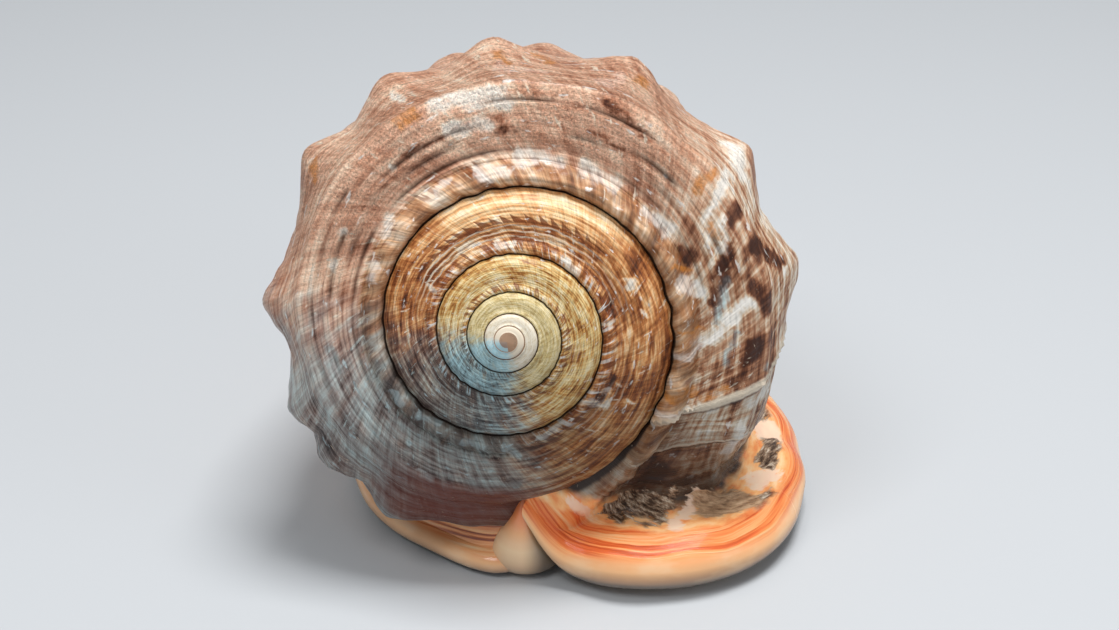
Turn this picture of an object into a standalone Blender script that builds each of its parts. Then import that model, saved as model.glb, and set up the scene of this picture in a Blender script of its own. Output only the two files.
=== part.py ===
"""A bullmouth helmet shell, lying on its mouth with the spire end at -Y, as one closed faceted solid.

The whorls are a loft of half sections that grow round the coiling axis. The last one turns out into the
thick lip, the inner shield lies on the other side of the mouth, and the mouth opens into the last whorl.
"""
import math

import bmesh
import bpy
import numpy as np

MM = 0.001

# The coiling axis: its slope against the table, the tip's height, and the spiral round it.
AXIS_TILT = math.radians(14.0)
TIP_HEIGHT = 66.0
GROWTH_PER_WHORL = 1.77
LAST_SUTURE_RADIUS = 40.8
SPIRE_SLOPE = 0.37
LIP_ANGLE = math.radians(-85.0)
FLARE_TURN = -1 / 6

# How finely the solid is faceted.
COLUMNS_PER_WHORL = 66
SPIRE_WHORLS = 3
SHELF_ROWS = 6
BARREL_ROWS = 18
SHELF_CROWDING = 1.4
SHIELD_STEPS = 30
CHAMBER_STEPS = 14
CHAMBER_ROWS = 7

# The top of a whorl from its own suture (0) to the next (1): depth below the spire's cone, in suture radii.
SPIRE_SHELF = [(0.0, 0.012), (0.06, -0.035), (0.22, -0.022), (0.55, -0.085), (0.8, -0.09), (1.0, 0.03)]
LAST_SHELF = [(0.0, 0.012), (0.06, -0.055), (0.22, -0.035), (0.6, -0.10), (0.85, -0.13), (1.0, -0.10)]

# The last whorl's shoulder radius by its turn. Its side from the shoulder to the front end is drawn for one
# of those radii and scaled to the others, mostly near the shoulder, and is fuller where the whorl is young.
SHOULDER = [(-1.0, 40.8), (-0.87, 42.4), (-0.736, 45.0), (-0.486, 52.4), (-0.236, 56.6), (0.0, 59.0)]
SHOULDER_REFERENCE = 54.7
SCALED_SHARE = 0.6
SCALED_TO = 0.87
EARLY_FULLNESS = 5.0
BARREL = [
    (54.7, 17.1), (58.0, 24), (58.2, 36), (56.5, 50), (53.5, 65), (47.5, 82),
    (39, 98), (29, 112), (19, 124), (9, 132), (0, 134),
]

# The rows of knobs: how far along the side (0 to 1), height, width, and degrees of each back from the lip.
KNOB_ROWS = [
    (0.13, 4.6, 7.5, [324, 304, 289, 261, 225, 202, 178, 149, 120, 95]),
    (0.33, 3.2, 7.0, [313, 288, 263, 238, 212, 190, 167, 137, 108]),
    (0.50, 2.6, 6.5, [302, 274, 245, 216, 187, 158, 130, 101]),
    (0.66, 1.8, 5.5, [288, 256, 223, 191, 158, 126]),
]

# The flare: how strongly it leaves the spiral and meets the lip, how far it comes down there, where along
# the side it no longer leaves along the spiral, and how much of the whorl's top keeps to the suture.
FLARE_PULL = 0.9
FLARE_DIP = 0.25
FLARE_FRONT = 0.6
SUTURE_HOLD = 0.45

# Stations along the lip: edge x, y, z; the way it faces; half thickness; roundness; the mouth's side x, y, z.
LIP = [
    (2.8, 3.7, 19.8, -120, 1.2, 2, 5.0, 9.0, 19.5),
    (8.0, 4.3, 10.5, -124, 2.6, 3, 11.5, 14.0, 9.5),
    (13.5, 2.6, 6.8, -112, 5.4, 6, 14.0, 22.0, 3.0),
    (24.0, -1.6, 7.0, -98, 7.0, 9, 14.5, 33.0, 2.0),
    (40.0, -1.2, 7.0, -80, 7.0, 9, 13.5, 44.0, 2.0),
    (55.0, 6.0, 7.0, -55, 7.0, 9, 12.3, 54.0, 2.0),
    (66.0, 21.0, 7.0, -28, 7.0, 9, 11.0, 63.0, 2.0),
    (70.5, 42.0, 7.0, -6, 7.0, 8, 9.5, 72.0, 2.0),
    (69.0, 62.0, 6.5, 10, 6.5, 8, 8.0, 81.0, 2.0),
    (63.0, 82.0, 6.5, 24, 6.5, 8, 6.5, 90.0, 2.0),
    (51.0, 103.0, 6.5, 36, 6.5, 8, 5.5, 99.0, 2.0),
    (36.0, 121.0, 7.5, 45, 6.0, 7, 4.5, 108.0, 3.0),
    (22.0, 134.0, 12.0, 60, 5.0, 6, 4.0, 118.0, 6.0),
    (12.0, 141.0, 18.0, 80, 4.0, 5, 4.5, 128.0, 12.0),
]
LIP_CORNER_STATION = 6.0
LIP_FULL_HALF = 7.0

# The same along the shield's outer edge.
SHIELD = [
    (6.0, 10.5, 4.0, -60, 3.0, 3, 9.8, 14.5, 3.0),
    (-2.0, 7.0, 3.4, -98, 3.4, 5, 9.4, 22.0, 2.0),
    (-9.5, 9.0, 3.2, -110, 3.2, 5, 8.4, 30.0, 2.0),
    (-19.0, 15.8, 3.2, -122, 3.2, 5, 7.2, 39.0, 2.0),
    (-28.0, 23.7, 3.2, -134, 3.2, 5, 5.8, 48.0, 2.0),
    (-34.5, 33.0, 3.2, -148, 3.2, 5, 4.2, 58.0, 2.0),
    (-38.5, 43.5, 3.4, -157, 3.4, 5, 2.4, 67.0, 2.0),
    (-41.0, 55.0, 3.6, -169, 3.6, 5, 0.6, 76.0, 2.0),
    (-42.0, 69.0, 4.0, -182, 4.0, 5, -1.5, 84.0, 2.0),
    (-39.0, 85.0, 4.0, -195, 4.0, 5, -3.2, 92.0, 2.0),
    (-32.0, 101.0, 4.6, -210, 4.4, 5, -4.2, 100.0, 2.0),
    (-22.0, 116.0, 6.5, -225, 4.5, 5, -4.4, 108.0, 3.0),
    (-11.0, 128.0, 12.0, -242, 4.5, 5, -3.5, 118.0, 6.0),
    (-2.0, 136.0, 17.0, -260, 4.0, 4, -2.0, 127.0, 11.0),
]

# A rib across the lip or the shield. Its top: how far in from the edge, in roundnesses. Round the edge: up,
# in half thicknesses, and in. The flat strip's share of the underside, then shares of the way to the mouth
# and the rise there. Up the mouth's wall: share of its height, and how far back under the rib.
RIB_TOP = 1.4
RIB_ROLL = [(0.93, 0.75), (0.62, 0.22), (0.0, 0.0), (-0.62, 0.22), (-1.0, 1.0)]
RIB_STRIP = 0.14
RIB_UNDERSIDE = [(0.4, 0.8), (0.75, 0.8)]
RIB_WALL = [(0.04, 0.0), (0.2, -0.3), (0.5, 1.0), (1.0, 3.0)]

# The shield's upper side behind its rolled edge: how far in, and how far above the edge.
SHIELD_NECK = [(7.5, 21.0), (4.8, 11.5), (4.3, 5.0)]
SHIELD_FULL_WIDTH = 20.0

# The lobe that ends the shield at the back of the mouth: height, middle x, front y, half width, half depth.
LOBE = [
    (0.5, 3.4, 9.0, 6.3, 6.0), (1.6, 3.4, 7.2, 7.6, 6.8), (4.5, 3.2, 5.4, 8.0, 7.4),
    (8.5, 3.0, 4.6, 6.8, 7.0), (12.5, 2.6, 4.2, 4.6, 6.0), (16.5, 2.7, 4.0, 3.0, 5.0),
    (20.0, 3.0, 4.3, 1.9, 4.0), (24.0, 3.2, 6.0, 1.2, 3.0),
]
LOBE_SIDES = 16

# The front canal's spout and the groove that runs out through it: x, y, z and the radius there.
SPOUT = [(3, 104, 36, 16), (3, 118, 32, 17), (3, 130, 33, 15), (3, 137, 41, 12), (3, 139, 52, 8.5)]
GROOVE = [(0, 104, 3, 4.4), (0.5, 122, 8, 4.4), (1.5, 137, 17, 4.6), (2.5, 147, 33, 5), (3, 148, 60, 5.5)]

# The mouth: the height of its roof, the wall left round the chamber behind it, the wall between whorls, and
# the pillar round the coiling axis. The chamber's reach in turns and along the side, how much narrower it is
# by the lip, and its throat: the stations of the lip and shield it runs between, its heights and side gap.
MOUTH_ROOF = 23.0
WALL = 5.5
SEPTUM = 2.0
PILLAR_RADIUS = 10.0
CHAMBER_TURNS = (-0.85, -0.09)
CHAMBER_SIDE = (0.12, 0.78)
CHAMBER_NARROWING = 0.16
THROAT_STATIONS = (2.5, 11.2)
THROAT_HEIGHTS = (12.0, 6.0)
THROAT_SIDE_GAP = 1.0

SHELL_COLOUR = (0.52, 0.29, 0.16, 1.0)
UP = np.array([0.0, 0.0, 1.0])
TABLE = np.array([-np.inf, -np.inf, 0.0])


def smooth_step(x):
    """0 below 0, 1 above 1, and an even turn between."""
    x = np.clip(x, 0, 1)
    return x * x * (3 - 2 * x)


def through(pairs, x):
    """Smooth values at x through (place, value) pairs."""
    places, values = (np.array(column, float) for column in zip(*pairs))
    slopes = np.gradient(values, places)
    x = np.clip(x, places[0], places[-1])
    i = np.clip(np.searchsorted(places, x, side="right") - 1, 0, len(places) - 2)
    span = places[i + 1] - places[i]
    f = (x - places[i]) / span
    start = (2 * f**3 - 3 * f**2 + 1) * values[i] + (f**3 - 2 * f**2 + f) * span * slopes[i]
    return start + (3 * f**2 - 2 * f**3) * values[i + 1] + (f**3 - f**2) * span * slopes[i + 1]


def spline(points, at):
    """A smooth curve through points, read at places counted in points."""
    points = np.asarray(points, float)
    at = np.clip(np.asarray(at, float), 0, len(points) - 1 - 1e-9)
    i = np.floor(at).astype(int)
    f = (at - i)[..., None]
    ends = np.concatenate([[2 * points[0] - points[1]], points, [2 * points[-1] - points[-2]]])
    a, b, c, d = ends[i], ends[i + 1], ends[i + 2], ends[i + 3]
    return (2 * b + (c - a) * f + (2 * a - 5 * b + 4 * c - d) * f**2 + (3 * b - a - 3 * c + d) * f**3) / 2


def placed(turn, radius, axial):
    """Points at this turn of the spiral, radius from the coiling axis and distance along it from the tip."""
    angle = LIP_ANGLE - 2 * math.pi * np.asarray(turn, float)
    across = radius * np.cos(angle)
    above = radius * np.sin(angle)
    depth = axial * math.cos(AXIS_TILT) + above * math.sin(AXIS_TILT)
    height = TIP_HEIGHT + above * math.cos(AXIS_TILT) - axial * math.sin(AXIS_TILT)
    return np.stack(np.broadcast_arrays(across, depth, height), -1)


def suture_radius(turn):
    return LAST_SUTURE_RADIUS * GROWTH_PER_WHORL**turn


def shelf(turn, across):
    """Radius and axial distance on the top of a whorl, from its suture (0) to the next (1)."""
    start = suture_radius(turn)
    end = np.where(turn >= -1, through(SHOULDER, turn), GROWTH_PER_WHORL * start)
    radius = start + (end - start) * across
    adult = smooth_step((turn + 1) / 0.12)
    early = smooth_step(turn + SPIRE_WHORLS + 1)
    relief = through(SPIRE_SHELF, across) * early * (1 - adult) + through(LAST_SHELF, across) * adult
    return radius, SPIRE_SLOPE * radius + start * relief


def barrel(turn, along):
    """Radius and axial distance on the side of a whorl, from the shelf's end (0) to the front end (1)."""
    first_radius, first_axial = shelf(turn, np.ones_like(along))
    made = spline(BARREL, along * (len(BARREL) - 1))
    scale = first_radius / SHOULDER_REFERENCE
    scale = scale + (1 - scale) * np.clip(along / SCALED_TO, 0, 1) * SCALED_SHARE
    stretch = (BARREL[-1][1] - first_axial) / (BARREL[-1][1] - BARREL[0][1])
    full = (1 - smooth_step((turn + 1) / 0.3)) * smooth_step(along / 0.1) * (1 - smooth_step(along / 0.8))
    radius = made[..., 0] * scale + EARLY_FULLNESS * full
    return radius, first_axial + (made[..., 1] - BARREL[0][1]) * stretch


def whorl(turn, row):
    """Points on a whorl's outside. Rows run over its top, then down its side."""
    turn, row = np.broadcast_arrays(np.asarray(turn, float), np.asarray(row, float))
    top = shelf(turn, np.clip(row / SHELF_ROWS, 0, 1) ** SHELF_CROWDING)
    side = barrel(turn, np.clip((row - SHELF_ROWS) / BARREL_ROWS, 0, 1))
    radius, axial = np.where(row <= SHELF_ROWS, top, side)
    return placed(turn, radius, axial)


def stations(table, at):
    """Edge, outward direction, half thickness, roundness and mouth side at places along a table."""
    values = spline(table, at)
    heading = np.radians(values[..., 3])
    outward = np.stack([np.cos(heading), np.sin(heading), 0 * heading], -1)
    return values[..., 0:3], outward, values[..., 4:5], values[..., 5:6], values[..., 6:9]


def lip_station(row):
    """The lip's place for a row: the whorl's top ends at its corner, and the side runs from there on."""
    top = LIP_CORNER_STATION * np.clip(row / SHELF_ROWS, 0, 1)
    return top + (len(LIP) - 1 - LIP_CORNER_STATION) * np.clip((row - SHELF_ROWS) / BARREL_ROWS, 0, 1)


def underside(edge, outward, half, round_, mouth, fullness):
    """The points of one rib from just past its top, round its edge, under, and up the wall of the mouth."""
    roll = [edge + UP * half * above - outward * round_ * inward for above, inward in RIB_ROLL]
    bottom = np.maximum(roll.pop(), TABLE)
    reach = mouth - bottom
    level = reach * (1 - UP)
    wall = UP * (MOUTH_ROOF - mouth[..., 2:3]) * fullness
    back = -level / np.linalg.norm(level, axis=-1, keepdims=True) * fullness
    return [
        *roll,
        bottom,
        bottom + level * RIB_STRIP,
        *(bottom + reach * share + UP * rise for share, rise in RIB_UNDERSIDE),
        *(mouth + wall * share + back * under for share, under in RIB_WALL),
    ]


def flare(share, row):
    """The last part of the whorl, turning from the spiral (share 0) out to the top of the lip's edge (1)."""
    step = 1e-3
    start = whorl(FLARE_TURN, row)
    along = start - whorl(FLARE_TURN - step, row)
    edge, outward, half, round_, _ = stations(LIP, lip_station(row))
    end = edge + UP * half - outward * round_ * RIB_TOP
    span = FLARE_PULL * np.linalg.norm(end - start, axis=-1, keepdims=True)
    along_side = (row - SHELF_ROWS) / BARREL_ROWS
    by_front = smooth_step((along_side - FLARE_FRONT) / (1 - FLARE_FRONT))[..., None]
    leave = along / np.linalg.norm(along, axis=-1, keepdims=True) * span * (1 - by_front)
    arrive = (outward - UP * FLARE_DIP) * span
    f = np.asarray(share, float)[..., None]
    made = (2 * f**3 - 3 * f**2 + 1) * start + (f**3 - 2 * f**2 + f) * leave
    return made + (3 * f**2 - 2 * f**3) * end + (f**3 - f**2) * arrive


def last_whorl(turn, row):
    """Points on the last whorl: the spiral, then the flare, whose inner edge keeps to the suture."""
    turn, row = np.broadcast_arrays(np.asarray(turn, float), np.asarray(row, float))
    share = np.clip(1 - turn / FLARE_TURN, 0, 1)
    by_suture = 1 - smooth_step(row / (SUTURE_HOLD * SHELF_ROWS))
    first = np.zeros_like(row)
    gap = whorl(turn, first) - flare(share, first)
    turned_out = flare(share, row) + by_suture[..., None] * gap
    return np.where((turn > FLARE_TURN)[..., None], turned_out, whorl(turn, row))


def lip_ribs(row):
    """Columns that go on from the flare: over the lip's edge, along its underside and up into the mouth."""
    edge, outward, half, round_, mouth = stations(LIP, lip_station(row))
    shift = last_whorl(0.0, row) - (edge + UP * half - outward * round_ * RIB_TOP)
    ribs = underside(edge, outward, half, round_, mouth, np.minimum(1, half / LIP_FULL_HALF) ** 2)
    return [rib + shift * (1 - smooth_step(k / 4)) for k, rib in enumerate(ribs, 1)]


def raise_knobs(columns):
    """Pushes the columns outward round each knob."""
    normals = np.cross(np.gradient(columns, axis=0), np.gradient(columns, axis=1))
    normals /= np.linalg.norm(normals, axis=-1, keepdims=True) + 1e-9
    outside = np.sum(normals * (columns - columns.mean(axis=(0, 1))))
    lift = np.zeros(columns.shape[:2])
    for place, height, width, degrees in KNOB_ROWS:
        for angle in degrees:
            centre = last_whorl(-angle / 360, SHELF_ROWS + place * BARREL_ROWS)
            distance = np.linalg.norm(columns - centre, axis=-1)
            lift = np.maximum(lift, height * np.exp(-((distance / width) ** 2)))
    return columns + normals * lift[..., None] * np.sign(outside)


def closed_mesh(name, points, faces):
    """A closed mesh in metres from points in millimetres, with repeated corners dropped from its faces."""
    mesh = bpy.data.meshes.new(name)
    bm = bmesh.new()
    corners = {}
    for face in faces:
        kept = list(dict.fromkeys(int(corner) for corner in face))
        if len(kept) < 3:
            continue
        for corner in kept:
            if corner not in corners:
                corners[corner] = bm.verts.new(points[corner] * MM)
        bm.faces.new([corners[corner] for corner in kept])
    bmesh.ops.triangulate(bm, faces=bm.faces)
    bmesh.ops.recalc_face_normals(bm, faces=bm.faces)
    bm.to_mesh(mesh)
    bm.free()
    return mesh


def quads(ids):
    """Faces between the neighbouring columns and rows of a grid of point numbers."""
    return np.stack([ids[:-1, :-1], ids[1:, :-1], ids[1:, 1:], ids[:-1, 1:]], -1).reshape(-1, 4).tolist()


def whorls_mesh():
    """The spire, the last whorl and the lip, closed over the mouth's roof."""
    rows = SHELF_ROWS + BARREL_ROWS
    last_start = SPIRE_WHORLS * COLUMNS_PER_WHORL
    lip_column = last_start + COLUMNS_PER_WHORL
    flare_column = lip_column + round(FLARE_TURN * COLUMNS_PER_WHORL)
    turns = (np.arange(lip_column + 1) - lip_column) / COLUMNS_PER_WHORL
    row = np.arange(rows + 1.0)
    whorls = last_whorl(turns[:, None], row)
    whorls[last_start:] = raise_knobs(whorls[last_start:])
    whorls[0, 0] = placed(0.0, 0.0, 0.0)
    columns = np.concatenate([whorls, lip_ribs(row)])

    ids = np.arange(columns.shape[0] * (rows + 1)).reshape(-1, rows + 1)
    front_end = ids[last_start, rows]
    ids[:COLUMNS_PER_WHORL, 0] = ids[0, 0]
    ids[0, 1:SHELF_ROWS] = ids[0, SHELF_ROWS]
    ids[COLUMNS_PER_WHORL : lip_column + 1, 0] = ids[: last_start + 1, SHELF_ROWS]
    ids[last_start : flare_column + 1, rows] = front_end

    faces = quads(ids[: last_start + 1, : SHELF_ROWS + 1]) + quads(ids[last_start:])
    roof_side = ids[last_start, np.minimum(np.arange(rows + 1) + SHELF_ROWS, rows)]
    faces += quads(np.stack([ids[-1], roof_side]))
    faces += [(ids[k, 0], ids[k + 1, 0], ids[-1, 0]) for k in range(lip_column, len(ids) - 1)]
    faces += [(ids[k, rows], ids[k + 1, rows], ids[-1, rows]) for k in range(flare_column, len(ids) - 1)]
    return closed_mesh("shell", columns.reshape(-1, 3), faces)


def ring_loft(name, rings):
    """A closed mesh over rings with equal numbers of points, each end closed by one face."""
    rings = np.asarray(rings)
    count, size = rings.shape[:2]
    ids = np.arange(count * size).reshape(count, size)
    faces = quads(np.concatenate([ids, ids[:, :1]], axis=1))
    faces += [ids[0].tolist(), ids[-1].tolist()]
    return closed_mesh(name, rings.reshape(-1, 3), faces)


def shield_mesh():
    """The inner lip: a thick curved plate with a rolled edge and a trough between that and the whorl."""
    at = np.linspace(0, len(SHIELD) - 1, SHIELD_STEPS + 1)
    edge, outward, half, round_, mouth = stations(SHIELD, at)
    share = np.minimum(1, np.linalg.norm(mouth - edge, axis=-1, keepdims=True) / SHIELD_FULL_WIDTH)
    ring = underside(edge, outward, half, round_, mouth, 1)
    ring += [edge - outward * inward * share + UP * above for inward, above in SHIELD_NECK]
    return ring_loft("shield", np.stack(ring, axis=1))


def lobe_mesh():
    """The rounded end of the shield, which stands against the last suture's end."""
    angle = np.linspace(0, 2 * math.pi, LOBE_SIDES, endpoint=False)
    rings = []
    for height, across, front, half_width, half_depth in LOBE:
        x = across + half_width * np.cos(angle)
        y = front + half_depth * (1 + np.sin(angle))
        rings.append(np.stack([x, y, np.full(LOBE_SIDES, height)], -1))
    return ring_loft("lobe", rings)


def chamber_mesh():
    """The hollow of the last whorl, from deep inside out through the mouth."""
    rings = []
    for turn in np.linspace(*CHAMBER_TURNS, CHAMBER_STEPS):
        narrowing = CHAMBER_NARROWING * smooth_step((turn + 0.32) / 0.16)
        side = np.linspace(CHAMBER_SIDE[0] + narrowing, CHAMBER_SIDE[1], CHAMBER_ROWS)
        outer, axial = barrel(turn, side)
        inner = barrel(turn - 1, side)[0] + SEPTUM
        inner += (PILLAR_RADIUS - inner) * smooth_step((side - 0.3) / 0.45)
        outer_side = placed(turn, outer - WALL, axial)
        inner_side = placed(turn, inner, axial)
        rings.append(np.concatenate([outer_side, inner_side[::-1]]))
    throat = np.linspace(*THROAT_STATIONS, CHAMBER_ROWS)
    lip_side = stations(LIP, throat)[4]
    shield_side = stations(SHIELD, throat)[4]
    for height in THROAT_HEIGHTS:
        near_lip = lip_side * (1 - UP) + UP * height - [THROAT_SIDE_GAP, 0, 0]
        near_shield = shield_side * (1 - UP) + UP * height + [THROAT_SIDE_GAP, 0, 0]
        rings.append(np.concatenate([near_lip, near_shield[::-1]]))
    return ring_loft("chamber", rings)


def tube_mesh(name, points):
    """A round tube through points with a radius at each, closed at both ends."""
    curve = bpy.data.curves.new(name, "CURVE")
    curve.dimensions = "3D"
    curve.bevel_depth = MM
    curve.bevel_resolution = 3
    curve.use_fill_caps = True
    smooth = spline(points, np.linspace(0, len(points) - 1, 3 * len(points)))
    path = curve.splines.new("POLY")
    path.points.add(len(smooth) - 1)
    for point, (x, y, z, radius) in zip(path.points, smooth):
        point.co = (x * MM, y * MM, z * MM, 1)
        point.radius = radius
    guide = bpy.data.objects.new(name, curve)
    bpy.context.scene.collection.objects.link(guide)
    seen = guide.evaluated_get(bpy.context.evaluated_depsgraph_get())
    mesh = bpy.data.meshes.new_from_object(seen)
    bm = bmesh.new()
    bm.from_mesh(mesh)
    bmesh.ops.remove_doubles(bm, verts=bm.verts, dist=1e-5)
    bmesh.ops.recalc_face_normals(bm, faces=bm.faces)
    bm.to_mesh(mesh)
    bm.free()
    bpy.data.objects.remove(guide)
    bpy.data.curves.remove(curve)
    return mesh


def shell_material():
    material = bpy.data.materials.new("shell")
    material.use_nodes = True
    shader = material.node_tree.nodes["Principled BSDF"]
    shader.inputs["Base Color"].default_value = SHELL_COLOUR
    shader.inputs["Roughness"].default_value = 0.35
    shader.inputs["Metallic"].default_value = 0.0
    return material


def main():
    for old in list(bpy.data.objects):
        bpy.data.objects.remove(old)
    kept = bpy.data.collections.new("bullmouth_helmet_shell")
    tools = bpy.data.collections.new("cutters")
    for collection in (kept, tools):
        bpy.context.scene.collection.children.link(collection)

    shell = bpy.data.objects.new("shell", whorls_mesh())
    shell.data.materials.append(shell_material())
    kept.objects.link(shell)
    pieces = [
        ("UNION", shield_mesh()),
        ("UNION", lobe_mesh()),
        ("UNION", tube_mesh("spout", SPOUT)),
        ("DIFFERENCE", chamber_mesh()),
        ("DIFFERENCE", tube_mesh("groove", GROOVE)),
    ]
    # The lip's thin plate touches itself where the suture ends, so the exact solver finds no inside.
    for operation, mesh in pieces:
        tool = bpy.data.objects.new(mesh.name, mesh)
        tool.hide_render = True
        tool.display_type = "WIRE"
        tool.parent = shell
        tools.objects.link(tool)
        boolean = shell.modifiers.new(mesh.name, "BOOLEAN")
        boolean.operation = operation
        boolean.solver = "MANIFOLD"
        boolean.object = tool

    bpy.context.view_layer.update()
    made = shell.evaluated_get(bpy.context.evaluated_depsgraph_get()).to_mesh()
    corners = np.array([vertex.co[:] for vertex in made.vertices])
    middle = (corners.min(axis=0) + corners.max(axis=0)) / 2
    shell.location = (-middle[0], -middle[1], -corners[:, 2].min())


main()
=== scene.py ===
"""A bullmouth helmet shell lying on its mouth: its fine relief, layered colours and gloss.

The shell is a loft of half sections that grow round the coiling axis, like the solid it stands for, with many
more of them. Lengths are in millimetres from a point on the table under the tip of the spire. Each corner of
a face also carries its place on the shell, which the materials read:
  skin: the way round the spiral, the way across the whorl, and the age of the growth line through it
  lip: the way along the lip, the height up from its edge, and the turn of the spiral
  marks: how dark and how light the shell's marks make it there, and how much painted blue reflection it has
  tints: how amber it is, how deep in a groove and how grainy
  lip_marks: how far the dark blotches, the olive ones and the pale glaze of the lip cover it
"""
import math
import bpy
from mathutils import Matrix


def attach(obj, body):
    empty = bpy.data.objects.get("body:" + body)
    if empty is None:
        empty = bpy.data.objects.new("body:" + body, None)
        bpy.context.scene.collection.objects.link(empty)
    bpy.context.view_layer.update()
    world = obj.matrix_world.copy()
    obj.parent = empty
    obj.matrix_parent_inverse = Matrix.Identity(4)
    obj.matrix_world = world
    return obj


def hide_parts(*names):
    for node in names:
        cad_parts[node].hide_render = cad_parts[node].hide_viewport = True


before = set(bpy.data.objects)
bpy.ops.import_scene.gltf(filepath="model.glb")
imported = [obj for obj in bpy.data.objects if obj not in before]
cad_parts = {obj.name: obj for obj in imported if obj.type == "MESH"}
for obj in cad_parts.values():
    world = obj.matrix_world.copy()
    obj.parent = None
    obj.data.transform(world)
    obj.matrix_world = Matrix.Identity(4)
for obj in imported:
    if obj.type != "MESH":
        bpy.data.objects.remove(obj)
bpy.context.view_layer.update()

from types import SimpleNamespace

import bmesh
import bpy
import numpy as np
from mathutils import Vector

MM = 0.001

# The frame's origin, and the camera, which stands where the photograph was taken from.
FRAME_ORIGIN = np.array([8.822, 72.802, 0.0])
CAMERA = np.array([11.0, -368.16, 268.21])
CAMERA_ELEVATION = math.radians(28.0)
CAMERA_LENS = 64.34

# The coiling axis: its slope against the table, the tip's height, and the spiral round it.
AXIS_TILT = math.radians(14.0)
TIP_HEIGHT = 66.0
GROWTH_PER_WHORL = 1.77
LAST_SUTURE_RADIUS = 40.8
SPIRE_SLOPE = 0.37
LIP_ANGLE = math.radians(-85.0)
FLARE_TURN = -1 / 6

# How finely the shell is faceted. Rows are counted as in the tables below, so most of these lie between rows.
COLUMNS_PER_WHORL = 320
SPIRE_WHORLS = 5
SHELF_ROWS = 6
BARREL_ROWS = 18
SHELF_CROWDING = 1.4
FINE_SHELF = 26
FINE_BARREL = 70
FINE_RIB = 3
SHIELD_STEPS = 130
CHAMBER_STEPS = 40
CHAMBER_ROWS = 21
SHARP_ANGLE = math.radians(50)

# The top of a whorl from its own suture (0) to the next (1): depth below the spire's cone, in suture radii.
SPIRE_SHELF = [(0.0, 0.012), (0.06, -0.035), (0.22, -0.022), (0.55, -0.085), (0.8, -0.09), (1.0, 0.03)]
LAST_SHELF = [(0.0, 0.012), (0.06, -0.055), (0.22, -0.035), (0.6, -0.10), (0.85, -0.13), (1.0, -0.10)]

# The last whorl's shoulder radius by its turn. Its side from the shoulder to the front end is drawn for one
# of those radii and scaled to the others, mostly near the shoulder, and is fuller where the whorl is young.
SHOULDER = [(-1.0, 40.8), (-0.87, 42.4), (-0.736, 45.0), (-0.486, 52.4), (-0.236, 56.6), (0.0, 59.0)]
SHOULDER_REFERENCE = 54.7
SCALED_SHARE = 0.6
SCALED_TO = 0.87
EARLY_FULLNESS = 5.0
BARREL = [
    (54.7, 17.1), (58.0, 24), (58.2, 36), (56.5, 50), (53.5, 65), (47.5, 82),
    (39, 98), (29, 112), (19, 124), (9, 132), (0, 134),
]

# The rows of knobs: how far along the side (0 to 1), height, width, and degrees of each back from the lip.
KNOB_ROWS = [
    (0.13, 5.4, 7.5, [324, 304, 289, 261, 225, 202, 178, 149, 120, 95]),
    (0.33, 2.8, 7.0, [313, 288, 263, 238, 212, 190, 167, 137, 108]),
    (0.50, 2.6, 6.5, [302, 274, 245, 216, 187, 158, 130, 101]),
    (0.66, 1.8, 5.5, [288, 256, 223, 191, 158, 126]),
]

KNOB_POINT = 1.6

# The flare: how strongly it leaves the spiral and meets the lip, how far it comes down there, where along
# the side it no longer leaves along the spiral, and how much of the whorl's top keeps to the suture.
FLARE_PULL = 0.9
FLARE_DIP = 0.25
FLARE_FRONT = 0.6
SUTURE_HOLD = 0.45

# Stations along the lip: edge x, y, z; the way it faces; half thickness; roundness; the mouth's side x, y, z.
LIP = [
    (2.8, 3.7, 19.8, -120, 1.2, 2, 5.0, 9.0, 19.5),
    (8.0, 4.3, 10.5, -124, 2.6, 3, 11.5, 14.0, 9.5),
    (13.5, 2.6, 6.8, -112, 5.4, 6, 14.0, 22.0, 3.0),
    (24.0, -1.6, 7.0, -98, 7.0, 9, 14.5, 33.0, 2.0),
    (40.0, -1.2, 7.0, -80, 7.0, 9, 13.5, 44.0, 2.0),
    (55.0, 6.0, 7.0, -55, 7.0, 9, 12.3, 54.0, 2.0),
    (66.0, 21.0, 7.0, -28, 7.0, 9, 11.0, 63.0, 2.0),
    (70.5, 42.0, 7.0, -6, 7.0, 8, 9.5, 72.0, 2.0),
    (69.0, 62.0, 6.5, 10, 6.5, 8, 8.0, 81.0, 2.0),
    (63.0, 82.0, 6.5, 24, 6.5, 8, 6.5, 90.0, 2.0),
    (51.0, 103.0, 6.5, 36, 6.5, 8, 5.5, 99.0, 2.0),
    (36.0, 121.0, 7.5, 45, 6.0, 7, 4.5, 108.0, 3.0),
    (22.0, 134.0, 12.0, 60, 5.0, 6, 4.0, 118.0, 6.0),
    (12.0, 141.0, 18.0, 80, 4.0, 5, 4.5, 128.0, 12.0),
]
LIP_CORNER_STATION = 6.0
LIP_FULL_HALF = 7.0

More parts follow.
